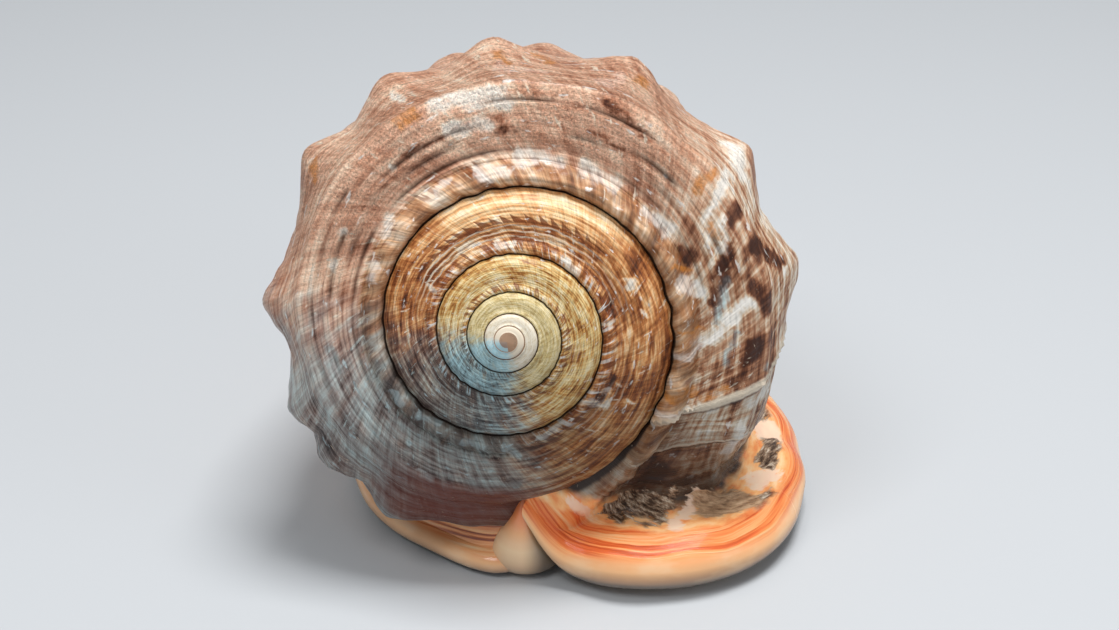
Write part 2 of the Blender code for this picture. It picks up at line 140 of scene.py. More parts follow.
# The same along the shield's outer edge.
SHIELD = [
    (6.0, 10.5, 4.0, -60, 3.0, 3, 9.8, 14.5, 3.0),
    (-2.0, 7.0, 3.4, -98, 3.4, 5, 9.4, 22.0, 2.0),
    (-9.5, 9.0, 3.2, -110, 3.2, 5, 8.4, 30.0, 2.0),
    (-19.0, 15.8, 3.2, -122, 3.2, 5, 7.2, 39.0, 2.0),
    (-28.0, 23.7, 3.2, -134, 3.2, 5, 5.8, 48.0, 2.0),
    (-34.5, 33.0, 3.2, -148, 3.2, 5, 4.2, 58.0, 2.0),
    (-38.5, 43.5, 3.4, -157, 3.4, 5, 2.4, 67.0, 2.0),
    (-41.0, 55.0, 3.6, -169, 3.6, 5, 0.6, 76.0, 2.0),
    (-42.0, 69.0, 4.0, -182, 4.0, 5, -1.5, 84.0, 2.0),
    (-39.0, 85.0, 4.0, -195, 4.0, 5, -3.2, 92.0, 2.0),
    (-32.0, 101.0, 4.6, -210, 4.4, 5, -4.2, 100.0, 2.0),
    (-22.0, 116.0, 6.5, -225, 4.5, 5, -4.4, 108.0, 3.0),
    (-11.0, 128.0, 12.0, -242, 4.5, 5, -3.5, 118.0, 6.0),
    (-2.0, 136.0, 17.0, -260, 4.0, 4, -2.0, 127.0, 11.0),
]

# A rib across the lip or the shield. Its top: how far in from the edge, in roundnesses. Round the edge: up,
# in half thicknesses, and in. The flat strip's share of the underside, then shares of the way to the mouth
# and the rise there. Up the mouth's wall: share of its height, and how far back under the rib.
RIB_TOP = 1.4
RIB_ROLL = [(0.93, 0.75), (0.62, 0.22), (0.0, 0.0), (-0.62, 0.22), (-1.0, 1.0)]
RIB_STRIP = 0.14
RIB_UNDERSIDE = [(0.4, 0.8), (0.75, 0.8)]
RIB_WALL = [(0.04, 0.0), (0.2, -0.3), (0.5, 1.0), (1.0, 3.0)]
RIB_EDGE = 3

# The shield's upper side behind its rolled edge: how far in, and how far above the edge.
SHIELD_NECK = [(7.5, 21.0), (4.8, 11.5), (4.3, 5.0)]
SHIELD_FULL_WIDTH = 20.0

# The lobe that ends the shield at the back of the mouth: height, middle x, front y, half width, half depth.
LOBE = [
    (0.5, 3.4, 9.0, 6.3, 6.0), (1.6, 3.4, 7.2, 7.6, 6.8), (4.5, 3.2, 5.4, 8.0, 7.4),
    (8.5, 3.0, 4.6, 6.8, 7.0), (12.5, 2.6, 4.2, 4.6, 6.0), (16.5, 2.7, 4.0, 3.0, 5.0),
    (20.0, 3.0, 4.3, 1.9, 4.0), (24.0, 3.2, 6.0, 1.2, 3.0),
]
LOBE_SIDES = 72
LOBE_RINGS = 40

# The front canal's spout and the groove that runs out through it: x, y, z and the radius there.
SPOUT = [(3, 104, 36, 16), (3, 118, 32, 17), (3, 130, 33, 15), (3, 137, 41, 12), (3, 139, 52, 8.5)]
GROOVE = [(0, 104, 3, 4.4), (0.5, 122, 8, 4.4), (1.5, 137, 17, 4.6), (2.5, 147, 33, 5), (3, 148, 60, 5.5)]
SPOUT_TURN = -0.2
TUBE_SIDES = 48
TUBE_STEPS = 60

# The mouth: the height of its roof, the wall left round the chamber behind it, the wall between whorls, and
# the pillar round the coiling axis. The chamber's reach in turns and along the side, how much narrower it
# is by the lip, and its throat: the stations of the lip and shield it joins, its heights and side gap.
MOUTH_ROOF = 23.0
WALL = 5.5
SEPTUM = 2.0
PILLAR_RADIUS = 10.0
CHAMBER_TURNS = (-0.85, -0.09)
CHAMBER_SIDE = (0.12, 0.78)
CHAMBER_NARROWING = 0.16
THROAT_STATIONS = (2.5, 11.2)
THROAT_HEIGHTS = (12.0, 6.0)
THROAT_SIDE_GAP = 1.0

# Millimetres on the shell: the spiral's length in one turn, and the widths of a whorl's top and side.
# A growth line slants back by this many millimetres per millimetre, within this reach of the suture, but not
# in the last bit of a turn before the lip. The last value stands for a place that isn't near the lip.
ROUND_PER_TURN = 314.0
SHELF_ACROSS = 20.0
BARREL_ACROSS = 140.0
GROWTH_SLANT = 1.25
GROWTH_REACH = 30.0
GROWTH_STRAIGHT_TURN = 0.15
FAR_FROM_LIP = 300.0

# Ridges, as height in millimetres, place across the whorl's top and width there. Those of the spire are
# beaded, at this spacing. Cords and layers, as height and spacing.
SPIRE_RIDGES = [((0.28, 0.56, 0.05), 6.3), ((0.3, 0.12, 0.06), 7.1)]
COLLAR_RIDGE = (0.85, 0.15, 0.06)
COLLAR_GUTTER = (-0.45, 0.28, 0.025)
NODULES = (0.6, 0.6, 0.035)
BEAD_SPACING = 9.7
SPIRE_CORDS = (0.16, 2.9)
LAST_CORDS = (0.14, 3.1)
LIP_LAYERS = (0.22, 2.9)

# Growth halts: their age in millimetres round the spiral, and their height. Grooves along the last whorl's
# top: their share across it, their width there, and how much of each is left.
SCARS = [(-43.8, 1.3), (-29.0, 0.6)]
GROOVES = [(0.37, 0.018, 0.9), (0.52, 0.015, 0.8), (0.65, 0.014, 0.7), (0.84, 0.015, 0.7)]
GROOVE_DEPTH = 0.9
SUTURE_WAVE = 0.25

# The side of each whorl that takes painted blue reflection, in radians from straight below the apex.
BLUE_REFLECTION_SIDE = math.radians(40.0)

# The teeth of the outer lip and the folds of the inner one: how many, and half length, width and height. Then
# the stations between which they stand, how far out from the mouth's side in half lengths, how far up from
# it, and how far above the table they stay.
TEETH = (22, (2.3, 1.15, 1.5))
FOLDS = (26, (3.6, 0.7, 0.9))
TEETH_STATIONS = (3.0, 10.8)
TOOTH_SET_BACK = 0.75
TOOTH_RISE = 0.35
TOOTH_CLEARANCE = [0, 0, 0.1]

# Marks on the skin, as strips with round ends: turn of the spiral, millimetres across the whorl, half length,
# half width, and degrees that the strip leans across.
DARK, LIGHT, BLUE_REFLECTION, AMBER = range(4)
SKIN_MARKS = {
    DARK: [
        (-1.153, 4.5, 6.3, 1.3, -4), (-0.541, 13.2, 8.4, 0.5, 0), (-0.491, 12.6, 1.7, 0.7, -16),
        (-0.409, 12.3, 5.4, 0.5, -8), (-0.405, 17.6, 6.1, 0.5, -8), (-0.305, 4.8, 3.5, 1.6, 36),
        (-0.294, 15.1, 8.1, 1.2, -35),
        (-0.278, 24.4, 5.3, 2.1, 62), (-0.267, 11, 4.4, 1.2, -30), (-0.258, 17.9, 3.2, 1.6, 25),
        (-0.209, 15.4, 4.6, 1.4, -16), (-0.191, 3, 4.5, 1.2, -41), (-0.183, 15.4, 1.2, 0.9, -30),
        (-0.095, 4, 6, 2.3, 40), (-0.066, 9.7, 2.9, 2.3, 81),
    ],
    LIGHT: [
        (-1.647, 5, 0.9, 1.7, 52), (-1.49, 3.1, 4.4, 1.5, -4), (-1.372, 1.6, 4.4, 1.7, -6),
        (-1.297, 11.4, 1.4, 1.4, -2), (-1.258, 12.8, 0.9, 0.8, 16), (-1.253, 2.2, 1.2, 1.6, -60),
        (-1.163, 6.7, 0.4, 0.8, -45), (-1.148, 11.3, 0.3, 0.8, -51), (-1.147, 4.5, 0.7, 1.3, -51),
        (-1.12, 2.5, 5, 1.8, -45), (-1.047, 1.9, 6.3, 1, -1), (-0.989, 4.2, 3.4, 1.4, -30),
        (-0.934, 2.4, 3.5, 0.9, -4), (-0.905, 15.2, 1.9, 0.9, -20), (-0.901, 1.7, 0.6, 0.7, 20),
        (-0.875, 10, 0.5, 0.7, 24), (-0.871, 1.4, 4.4, 1.2, 7), (-0.824, 2.9, 2.9, 1.2, 6),
        (-0.679, 13.2, 0.6, 0.9, -15), (-0.669, 3.7, 2.4, 1.6, 5), (-0.649, 13.4, 1, 0.9, -3),
        (-0.622, 5.8, 2.5, 1.6, 5), (-0.587, 13.3, 0.5, 0.9, -13), (-0.556, 28.9, 2.1, 1.2, -72),
        (-0.552, 4.3, 2.7, 1.4, 5), (-0.518, 13.3, 4.6, 1.9, -9), (-0.51, 18, 7.9, 2.1, -10),
        (-0.501, 3.5, 5, 1.2, -7), (-0.457, 5.8, 6.3, 1.6, 0), (-0.401, 5.4, 4.9, 1.9, -2),
        (-0.337, 5.2, 4.4, 1.4, 7), (-0.334, 30.8, 2.7, 1.9, -55), (-0.328, 19.4, 3.9, 1.4, -66),
        (-0.319, 13.6, 1.1, 0.9, -41), (-0.299, 15.1, 3.3, 0.9, -30), (-0.271, 4.7, 2.4, 2.1, 29),
        (-0.261, 29.3, 0, 1.4, 0), (-0.245, 13.5, 3, 1.6, -48), (-0.219, 5, 5.7, 1.2, -52),
        (-0.189, 24.9, 6.5, 1.4, -72), (-0.162, 4.6, 4.9, 0.9, -49), (-0.142, 18.9, 6.9, 1.4, -2),
    ],
    # Patches of painted blue reflection.
    BLUE_REFLECTION: [
        (-1.875, 16.5, 11.4, 3.1, -8), (-0.957, 13.2, 11, 2.2, 0),
        (-0.871, 15.5, 6.8, 2.8, -3), (-0.811, 22, 5.4, 3.3, 26), (-0.772, 14.4, 5.1, 2.3, -11),
        (-0.255, 10.6, 5.1, 1.2, -20), (-0.222, 12.4, 3.5, 0.9, -16), (-0.208, 19.7, 0, 0.9, 0),
    ],
    AMBER: [
        (-0.903, 3.9, 1.4, 0.9, 69), (-0.841, 2.8, 2.1, 1.4, -18), (-0.629, 30.6, 2.1, 1.4, 66),
        (-0.557, 19.2, 2, 1.2, 0), (-0.49, 29.8, 1.2, 1.6, -66), (-0.464, 34.5, 1.4, 1.6, -52),
        (-0.408, 30.5, 0.9, 1.6, -6), (-0.34, 17.3, 1.5, 1.2, -84), (-0.305, 13.3, 1.1, 0.9, 5),
        (-0.289, 4.8, 1.9, 0.9, 59), (-0.23, 3.4, 2.7, 0.7, -69), (-0.183, 10.4, 2.5, 1.2, -43),
        (-0.175, 3.5, 2.7, 1.2, -57),
    ],
}

# Marks on the lip: millimetres along it, height up from its edge, half length, half width and lean.
BLOTCH, OLIVE, PALE = range(3)
LIP_MARKS = {
    BLOTCH: [
        (33, 20, 8, 3.2, -6), (38, 15, 3, 1.6, 24), (24, 17.5, 4, 1.4, -12), (43, 20, 3, 2.2, 60),
        (99, 12.4, 6, 2.6, -8), (79, 9.5, 3, 0.9, -10),
        (128, 12, 6, 4, 0), (152, 11, 7, 4, 0), (176, 11, 6, 3.5, 0), (200, 10, 6, 3.5, 0),
    ],
    OLIVE: [(63, 16, 8, 4.2, -14), (72, 11, 4, 2.2, -20)],
    PALE: [(49, 17, 8, 1.8, 32), (86, 12.5, 5, 3, -20), (12, 13, 6, 2, 0), (112, 12, 4, 4, 0)],
}

# A mark's edge: its wander in millimetres each way, and where it starts and how far it goes, in half widths.
MARK_WANDER = (1.1, 0.7)
MARK_EDGE = (0.5, 0.9)

# The materials' places in each mesh.
OUTSIDE, GLAZED, INSIDE = range(3)

# The studio: the floor, and each light's name, place, size and power. Places and sizes are in metres.
FLOOR_COLOUR = (0.5, 0.52, 0.54, 1.0)
SKY_COLOUR = (0.93, 0.96, 1.0, 1.0)
SKY_STRENGTH = 0.3
LIT_POINT = (0.0, -0.02, 0.05)
LIGHTS = [
    ("key", (-0.35, -0.5, 0.9), 0.35, 3.0),
    ("fill", (0.9, -0.5, 0.5), 0.6, 1.6),
    ("top", (0.15, -0.05, 1.1), 0.4, 12.0),
]

UP = np.array([0.0, 0.0, 1.0])
TABLE = np.array([-np.inf, -np.inf, 0.0])


def smooth_step(x):
    """0 below 0, 1 above 1, and an even turn between."""
    x = np.clip(x, 0, 1)
    return x * x * (3 - 2 * x)


def bump(x, width):
    """A smooth hump of height 1 at 0."""
    return np.exp(-((x / width) ** 2))


def ripple(*coordinates, seed, waves=9):
    """Smooth noise of about -1 to 1. Each coordinate is counted in wavelengths."""
    rng = np.random.default_rng(seed)
    total = 0.0
    for _ in range(waves):
        direction = rng.normal(size=len(coordinates))
        direction *= rng.uniform(0.6, 1.5) / np.linalg.norm(direction)
        phase = rng.uniform(0, 2 * math.pi)
        total = total + np.sin(2 * math.pi * sum(d * c for d, c in zip(direction, coordinates)) + phase)
    return total / math.sqrt(2 * waves)


def through(pairs, x):
    """Smooth values at x through (place, value) pairs."""
    places, values = (np.array(column, float) for column in zip(*pairs))
    slopes = np.gradient(values, places)
    x = np.clip(x, places[0], places[-1])
    i = np.clip(np.searchsorted(places, x, side="right") - 1, 0, len(places) - 2)
    span = places[i + 1] - places[i]
    f = (x - places[i]) / span
    start = (2 * f**3 - 3 * f**2 + 1) * values[i] + (f**3 - 2 * f**2 + f) * span * slopes[i]
    return start + (3 * f**2 - 2 * f**3) * values[i + 1] + (f**3 - f**2) * span * slopes[i + 1]


def spline(points, at):
    """A smooth curve through points, or through whole rows of them, read at places counted in points."""
    points = np.asarray(points, float)
    at = np.clip(np.asarray(at, float), 0, len(points) - 1 - 1e-9)
    i = np.floor(at).astype(int)
    f = (at - i).reshape(at.shape + (1,) * (points.ndim - 1))
    ends = np.concatenate([[2 * points[0] - points[1]], points, [2 * points[-1] - points[-2]]])
    a, b, c, d = ends[i], ends[i + 1], ends[i + 2], ends[i + 3]
    return (2 * b + (c - a) * f + (2 * a - 5 * b + 4 * c - d) * f**2 + (3 * b - a - 3 * c + d) * f**3) / 2


def placed(turn, radius, axial):
    """Points at this turn of the spiral, radius from the coiling axis and distance along it from the tip."""
    angle = LIP_ANGLE - 2 * math.pi * np.asarray(turn, float)
    across = radius * np.cos(angle)
    above = radius * np.sin(angle)
    depth = axial * math.cos(AXIS_TILT) + above * math.sin(AXIS_TILT)
    height = TIP_HEIGHT + above * math.cos(AXIS_TILT) - axial * math.sin(AXIS_TILT)
    return np.stack(np.broadcast_arrays(across, depth, height), -1)


def suture_radius(turn):
    return LAST_SUTURE_RADIUS * GROWTH_PER_WHORL**turn


def shelf(turn, across):
    """Radius and axial distance on the top of a whorl, from its suture (0) to the next (1)."""
    start = suture_radius(turn)
    end = np.where(turn >= -1, through(SHOULDER, turn), GROWTH_PER_WHORL * start)
    radius = start + (end - start) * across
    adult = smooth_step((turn + 1) / 0.12)
    early = smooth_step(turn + SPIRE_WHORLS + 1)
    relief = through(SPIRE_SHELF, across) * early * (1 - adult) + through(LAST_SHELF, across) * adult
    return radius, SPIRE_SLOPE * radius + start * relief


def barrel(turn, along):
    """Radius and axial distance on the side of a whorl, from the shelf's end (0) to the front end (1)."""
    first_radius, first_axial = shelf(turn, np.ones_like(along))
    made = spline(BARREL, along * (len(BARREL) - 1))
    scale = first_radius / SHOULDER_REFERENCE
    scale = scale + (1 - scale) * np.clip(along / SCALED_TO, 0, 1) * SCALED_SHARE
    stretch = (BARREL[-1][1] - first_axial) / (BARREL[-1][1] - BARREL[0][1])
    full = (1 - smooth_step((turn + 1) / 0.3)) * smooth_step(along / 0.1) * (1 - smooth_step(along / 0.8))
    radius = made[..., 0] * scale + EARLY_FULLNESS * full
    return radius, first_axial + (made[..., 1] - BARREL[0][1]) * stretch


def shelf_share(row):
    """How far a row is across the whorl's top, from its suture (0) to the next (1)."""
    return np.clip(row / SHELF_ROWS, 0, 1) ** SHELF_CROWDING


def barrel_share(row):
    """How far a row is along the whorl's side, from the shoulder (0) to the front end (1)."""
    return np.clip((row - SHELF_ROWS) / BARREL_ROWS, 0, 1)


def whorl(turn, row):
    """Points on a whorl's outside. Rows run over its top, then down its side."""
    turn, row = np.broadcast_arrays(np.asarray(turn, float), np.asarray(row, float))
    top = shelf(turn, shelf_share(row))
    side = barrel(turn, barrel_share(row))
    radius, axial = np.where(row <= SHELF_ROWS, top, side)
    return placed(turn, radius, axial)


def stations(table, at):
    """Edge, outward direction, half thickness, roundness and mouth side at places along a table."""
    values = spline(table, at)
    heading = np.radians(values[..., 3])
    outward = np.stack([np.cos(heading), np.sin(heading), 0 * heading], -1)
    return values[..., 0:3], outward, values[..., 4:5], values[..., 5:6], values[..., 6:9]


def lip_station(row):
    """The lip's place for a row: the whorl's top ends at its corner, and the side runs from there on."""
    top = LIP_CORNER_STATION * np.clip(row / SHELF_ROWS, 0, 1)
    return top + (len(LIP) - 1 - LIP_CORNER_STATION) * barrel_share(row)


def underside(edge, outward, half, round_, mouth, fullness):
    """The points of one rib from just past its top, round its edge, under, and up the wall of the mouth."""
    roll = [edge + UP * half * above - outward * round_ * inward for above, inward in RIB_ROLL]
    bottom = np.maximum(roll.pop(), TABLE)
    reach = mouth - bottom
    level = reach * (1 - UP)
    wall = UP * (MOUTH_ROOF - mouth[..., 2:3]) * fullness
    back = -level / np.linalg.norm(level, axis=-1, keepdims=True) * fullness
    return [
        *roll,
        bottom,
        bottom + level * RIB_STRIP,
        *(bottom + reach * share + UP * rise for share, rise in RIB_UNDERSIDE),
        *(mouth + wall * share + back * under for share, under in RIB_WALL),
    ]


def flare(share, row):
    """The last part of the whorl, turning from the spiral (share 0) out to the top of the lip's edge (1)."""
    step = 1e-3
    start = whorl(FLARE_TURN, row)
    along = start - whorl(FLARE_TURN - step, row)
    edge, outward, half, round_, _ = stations(LIP, lip_station(row))
    end = edge + UP * half - outward * round_ * RIB_TOP
    span = FLARE_PULL * np.linalg.norm(end - start, axis=-1, keepdims=True)
    by_front = smooth_step((barrel_share(row) - FLARE_FRONT) / (1 - FLARE_FRONT))[..., None]
    leave = along / np.linalg.norm(along, axis=-1, keepdims=True) * span * (1 - by_front)
    arrive = (outward - UP * FLARE_DIP) * span
    f = np.asarray(share, float)[..., None]
    made = (2 * f**3 - 3 * f**2 + 1) * start + (f**3 - 2 * f**2 + f) * leave
    return made + (3 * f**2 - 2 * f**3) * end + (f**3 - f**2) * arrive


def last_whorl(turn, row):
    """Points on the last whorl: the spiral, then the flare, whose inner edge keeps to the suture."""
    turn, row = np.broadcast_arrays(np.asarray(turn, float), np.asarray(row, float))
    share = np.clip(1 - turn / FLARE_TURN, 0, 1)
    by_suture = 1 - smooth_step(row / (SUTURE_HOLD * SHELF_ROWS))
    first = np.zeros_like(row)
    gap = whorl(turn, first) - flare(share, first)
    turned_out = flare(share, row) + by_suture[..., None] * gap
    return np.where((turn > FLARE_TURN)[..., None], turned_out, whorl(turn, row))


def lip_ribs(row):
    """Columns that go on from the flare: over the lip's edge, along its underside and up into the mouth."""
    edge, outward, half, round_, mouth = stations(LIP, lip_station(row))
    top = last_whorl(0.0, row)
    shift = top - (edge + UP * half - outward * round_ * RIB_TOP)
    ribs = underside(edge, outward, half, round_, mouth, np.minimum(1, half / LIP_FULL_HALF) ** 2)
    coarse = [top] + [rib + shift * (1 - smooth_step(k / 4)) for k, rib in enumerate(ribs, 1)]
    fine = spline(np.array(coarse), np.arange(1, FINE_RIB * (len(coarse) - 1) + 1) / FINE_RIB)
    return np.maximum(fine, TABLE)


def lengths(columns):
    """How far each point of a column has come along the columns, from the first."""
    steps = np.linalg.norm(np.diff(columns, axis=0), axis=-1)
    return np.concatenate([np.zeros((1,) + steps.shape[1:]), np.cumsum(steps, axis=0)])


def outward_normals(columns):
    """Unit normals of a grid of points, away from its middle."""
    normals = np.cross(np.gradient(columns, axis=0), np.gradient(columns, axis=1))
    normals /= np.linalg.norm(normals, axis=-1, keepdims=True) + 1e-9
    return normals * np.sign(np.sum(normals * (columns - columns.mean(axis=(0, 1)))))


def knob_lift(columns):
    """How far the knobs raise each point."""
    lift = np.zeros(columns.shape[:2])
    for place, height, width, degrees in KNOB_ROWS:
        for angle in degrees:
            centre = last_whorl(-angle / 360, SHELF_ROWS + place * BARREL_ROWS)
            distance = np.linalg.norm(columns - centre, axis=-1)
            lift = np.maximum(lift, height * np.exp(-((distance / width) ** KNOB_POINT)))
    return lift


def fine_rows():
    """The rows of the fine mesh: closest together at the sutures, then even along the whorl's side."""
    even = np.linspace(0, 1, FINE_SHELF + 1)
    share = 0.6 * even + 0.2 * (1 - np.cos(math.pi * even))
    top = SHELF_ROWS * share ** (1 / SHELF_CROWDING)
    side = SHELF_ROWS + BARREL_ROWS * np.linspace(0, 1, FINE_BARREL + 1)
    return np.concatenate([top, side[1:]])


def growth_age(round_, across, turn):
    """Equal along a growth line, which slants back from the suture and lies along the lip near it."""
    slant = GROWTH_SLANT * GROWTH_REACH * (1 - np.exp(-across / GROWTH_REACH))
    return round_ + slant * smooth_step(-turn / GROWTH_STRAIGHT_TURN)


def ridge(relief, share):
    """A ridge along the spiral, from its height, place and width."""
    height, place, width = relief
    return height * bump(share - place, width)


def cord_waves(relief, across, warp):
    """Even cords along the spiral, from their height and spacing, and shifted by the warp."""
    height, spacing = relief
    return height * np.sin(2 * math.pi * across / spacing + warp)


def suture_waves(turn, share):
    """How far the shell is moved out from the coiling axis beside a suture, so that its line is wavy."""
    outer_turn = turn + (share > 0.5)
    near = (1 - smooth_step(share / 0.22)) + smooth_step((share - 0.86) / 0.14)
    size = suture_radius(outer_turn) / LAST_SUTURE_RADIUS
    wave = SUTURE_WAVE * near * size * ripple(ROUND_PER_TURN * outer_turn / 10, 0 * share, seed=26)
    wave = wave * smooth_step((turn + 4.5) / 1.5) * (1 - smooth_step((outer_turn + 0.12) / 0.1))
    axis_point = placed(turn, 0.0 * share, 0.0 * share)
    return placed(turn, wave, 0.0 * share) - axis_point


def spire_relief(turn, share):
    """Relief on the tops of the spire's whorls, in millimetres at the last one's size."""
    round_ = ROUND_PER_TURN * turn
    across = SHELF_ACROSS * share
    size = suture_radius(turn) / LAST_SUTURE_RADIUS
    sutures = -0.4 * bump(share, 0.016) - 0.5 * bump(1 - share, 0.014)
    beaded = 0.0
    for relief, spacing in SPIRE_RIDGES:
        beaded = beaded + ridge(relief, share) * (1 + np.sin(2 * math.pi * round_ / spacing))
    cords = cord_waves(SPIRE_CORDS, across, ripple(round_ / 60, across / 20, seed=3))
    growth = 0.14 * ripple(growth_age(round_, across, turn) / 9, across / 50, seed=4)
    grown = smooth_step((turn + 4) / 1.2)
    return size * (sutures + (beaded + cords + growth) * grown)


def last_grooves(turn, share, along):
    """How deep the broken grooves along the top of the last whorl are, from 0 to 1."""
    round_ = ROUND_PER_TURN * turn
    wander = 0.016 * ripple(round_ / 40, 0 * share, seed=11)
    made = 0.0
    for seed, (place, width, kept) in enumerate(GROOVES, 30):
        broken = smooth_step(kept + 1.2 * ripple(round_ / 24, share, seed=seed))
        made = np.maximum(made, bump(share - place - wander, width) * broken)
    fades = smooth_step((-turn - 0.22) / 0.1) * smooth_step((0.86 + turn) / 0.12)
    return made * fades * (1 - smooth_step(along / 0.02))


def last_relief(turn, share, along, margin, along_lip):
    """Relief on the last whorl and the lip, in millimetres."""
    round_ = ROUND_PER_TURN * turn
    across = SHELF_ACROSS * share + BARREL_ACROSS * along
    age = growth_age(round_, across, turn)
    top = 1 - smooth_step(along / 0.03)
    sutures = -0.45 * bump(share, 0.016)
    uneven = 0.22 * ripple(round_ / 26, 0 * across, seed=12)
    beads = 0.5 + 0.5 * np.sin(2 * math.pi * (round_ / BEAD_SPACING + uneven))
    collar = ridge(COLLAR_RIDGE, share) * beads + ridge(COLLAR_GUTTER, share)
    nodules = ridge(NODULES, share) * smooth_step(1.5 * ripple(round_ / 11, 0 * across, seed=15))
    cords = cord_waves(LAST_CORDS, across, 0.8 * ripple(round_ / 50, across / 18, seed=16))
    growth = 0.14 * ripple(age / 4.5, across / 45, seed=17) + 0.22 * ripple(age / 15, across / 60, seed=18)
    scars = 0.0
    for place, height in SCARS:
        step_down = 0.55 * smooth_step((place + 0.4 - age) / 1.6) * bump(age - place, 9)
        scars = scars + height * (bump(age - place, 0.9) + step_down)
    body = smooth_step((margin - 16) / 14)
    front = 1 - smooth_step((along - 0.86) / 0.1)
    grooves = -GROOVE_DEPTH * last_grooves(turn, share, along)
    made = (sutures + collar + nodules + grooves) * top + (cords + growth + scars) * front

    height, spacing = LIP_LAYERS
    wave = 0.8 * ripple(along_lip / 34, margin / 40, seed=21)
    layers = height * np.sin(2 * math.pi * (margin / spacing + wave))
    layers = layers + 0.32 * ripple(margin / 6, along_lip / 60, seed=22)
    band = smooth_step((margin - 2) / 4) * (1 - smooth_step((margin - 24) / 8)) * smooth_step(along_lip / 8)
    billows = 0.55 * ripple(along_lip / 22, margin / 24, seed=23) * smooth_step((margin + 4) / 6)
    lip = (layers * band + billows * smooth_step(along_lip / 10)) * (1 - smooth_step((margin - 26) / 10))
    return made * body + lip * front


def closed_mesh(name, points, same, faces, looks, slot):
    """A closed mesh from points, where same gives the point that each is merged with."""
    kept = []
    for face in faces:
        corners = [c for k, c in enumerate(face) if same[c] not in [same[d] for d in face[:k]]]
        if len(corners) > 2:
            kept.append(corners)
    order = np.concatenate(kept)
    used, place = np.unique(same[order], return_inverse=True)
    ends = np.cumsum([len(corners) for corners in kept])[:-1]
    mesh = bpy.data.meshes.new(name)
    corner_lists = [part.tolist() for part in np.split(place, ends)]
    mesh.from_pydata((points[used] - FRAME_ORIGIN) * MM, [], corner_lists)
    for look, values in looks.items():
        attribute = mesh.attributes.new(look, "FLOAT_VECTOR", "CORNER")
        attribute.data.foreach_set("vector", values[order].astype(np.float32).ravel())
    for material in MATERIALS:
        mesh.materials.append(material)
    mesh.polygons.foreach_set("material_index", [slot] * len(mesh.polygons))
    bm = bmesh.new()
    bm.from_mesh(mesh)
    bmesh.ops.triangulate(bm, faces=[face for face in bm.faces if len(face.verts) > 4])
    bmesh.ops.recalc_face_normals(bm, faces=bm.faces)
    bm.to_mesh(mesh)
    bm.free()
    return mesh


def quads(ids):
    """Faces between the neighbouring columns and rows of a grid of point numbers."""
    corners = [ids[:-1, :-1], ids[1:, :-1], ids[1:, 1:], ids[:-1, 1:]]
    return np.stack(corners, -1).reshape(-1, 4).tolist()


def stitched(first, first_places, second, second_places):
    """Triangles between two lines of points, each joined to the other line's nearest place."""
    faces = []
    i = j = 0
    while i < len(first) - 1 or j < len(second) - 1:
        second_done = j == len(second) - 1
        if second_done or (i < len(first) - 1 and first_places[i + 1] <= second_places[j + 1]):
            faces.append((first[i], first[i + 1], second[j]))
            i += 1
        else:
            faces.append((first[i], second[j + 1], second[j]))
            j += 1
    return faces


def vectors(*parts):
    """An array of vectors from arrays of their parts."""
    return np.stack(np.broadcast_arrays(*parts), -1).reshape(-1, len(parts))


def whorls_mesh():
    """The spire, the last whorl and the lip, closed over the mouth's roof."""
    row = fine_rows()
    last = len(row) - 1
    last_start = SPIRE_WHORLS * COLUMNS_PER_WHORL
    lip_column = last_start + COLUMNS_PER_WHORL
    flare_column = lip_column + round(FLARE_TURN * COLUMNS_PER_WHORL)
    turns = (np.arange(lip_column + 1) - lip_column) / COLUMNS_PER_WHORL
    whorls = last_whorl(turns[:, None], row)
    whorls += suture_waves(turns[:, None], shelf_share(row)[None, :])
    whorls[0, 0] = placed(0.0, 0.0, 0.0)
    whorls[last_start:] += outward_normals(whorls[last_start:]) * knob_lift(whorls[last_start:])[..., None]
    columns = np.concatenate([whorls, lip_ribs(row)])

    turn = np.concatenate([turns, np.zeros(len(columns) - len(turns))])[:, None]
    share = shelf_share(row)[None, :]
    along = barrel_share(row)[None, :]
    come = lengths(columns[last_start:])
    edge_column = lip_column + RIB_EDGE * FINE_RIB
    margin = np.full(columns.shape[:2], FAR_FROM_LIP)
    margin[last_start:] = come[edge_column - last_start] - come
    along_lip = lengths(columns[edge_column][:, None])[:, 0][None, :]

    top = slice(0, FINE_SHELF + 1)
    out = outward_normals(columns[: last_start + 1, top])[:-1]
    columns[:last_start, top] += out * spire_relief(turn[:last_start], share[:, top])[..., None]
    lift = last_relief(turn[last_start:], share, along, margin[last_start:], along_lip)
    seam = smooth_step((turn[last_start:] + 1) / 0.02)
    seam_lift = spire_relief(turn[last_start:], share) * (1 - smooth_step(along / 0.01))
    lift = seam * lift + (1 - seam) * seam_lift
    columns[last_start:] += outward_normals(columns[last_start:]) * lift[..., None]
    columns = np.maximum(columns, TABLE)

    same = np.arange(columns.shape[0] * (last + 1)).reshape(-1, last + 1)
    ids = same.copy()
    same[:COLUMNS_PER_WHORL, 0] = same[0, 0]
    same[0, 1:FINE_SHELF] = same[0, FINE_SHELF]
    same[COLUMNS_PER_WHORL : lip_column + 1, 0] = same[: last_start + 1, FINE_SHELF]
    same[last_start : flare_column + 1, last] = same[last_start, last]

    faces = quads(ids[: last_start + 1, top]) + quads(ids[last_start:])
    faces += stitched(ids[-1], row, ids[last_start, FINE_SHELF:], row[FINE_SHELF:] - SHELF_ROWS)
    faces += [(ids[k, 0], ids[k + 1, 0], ids[-1, 0]) for k in range(lip_column, len(ids) - 1)]
    faces += [(ids[k, last], ids[k + 1, last], ids[-1, last]) for k in range(flare_column, len(ids) - 1)]

    looks = whorl_looks(turn, share, along, margin, along_lip)
    return closed_mesh("shell_surface", columns.reshape(-1, 3), same.ravel(), faces, looks, OUTSIDE)


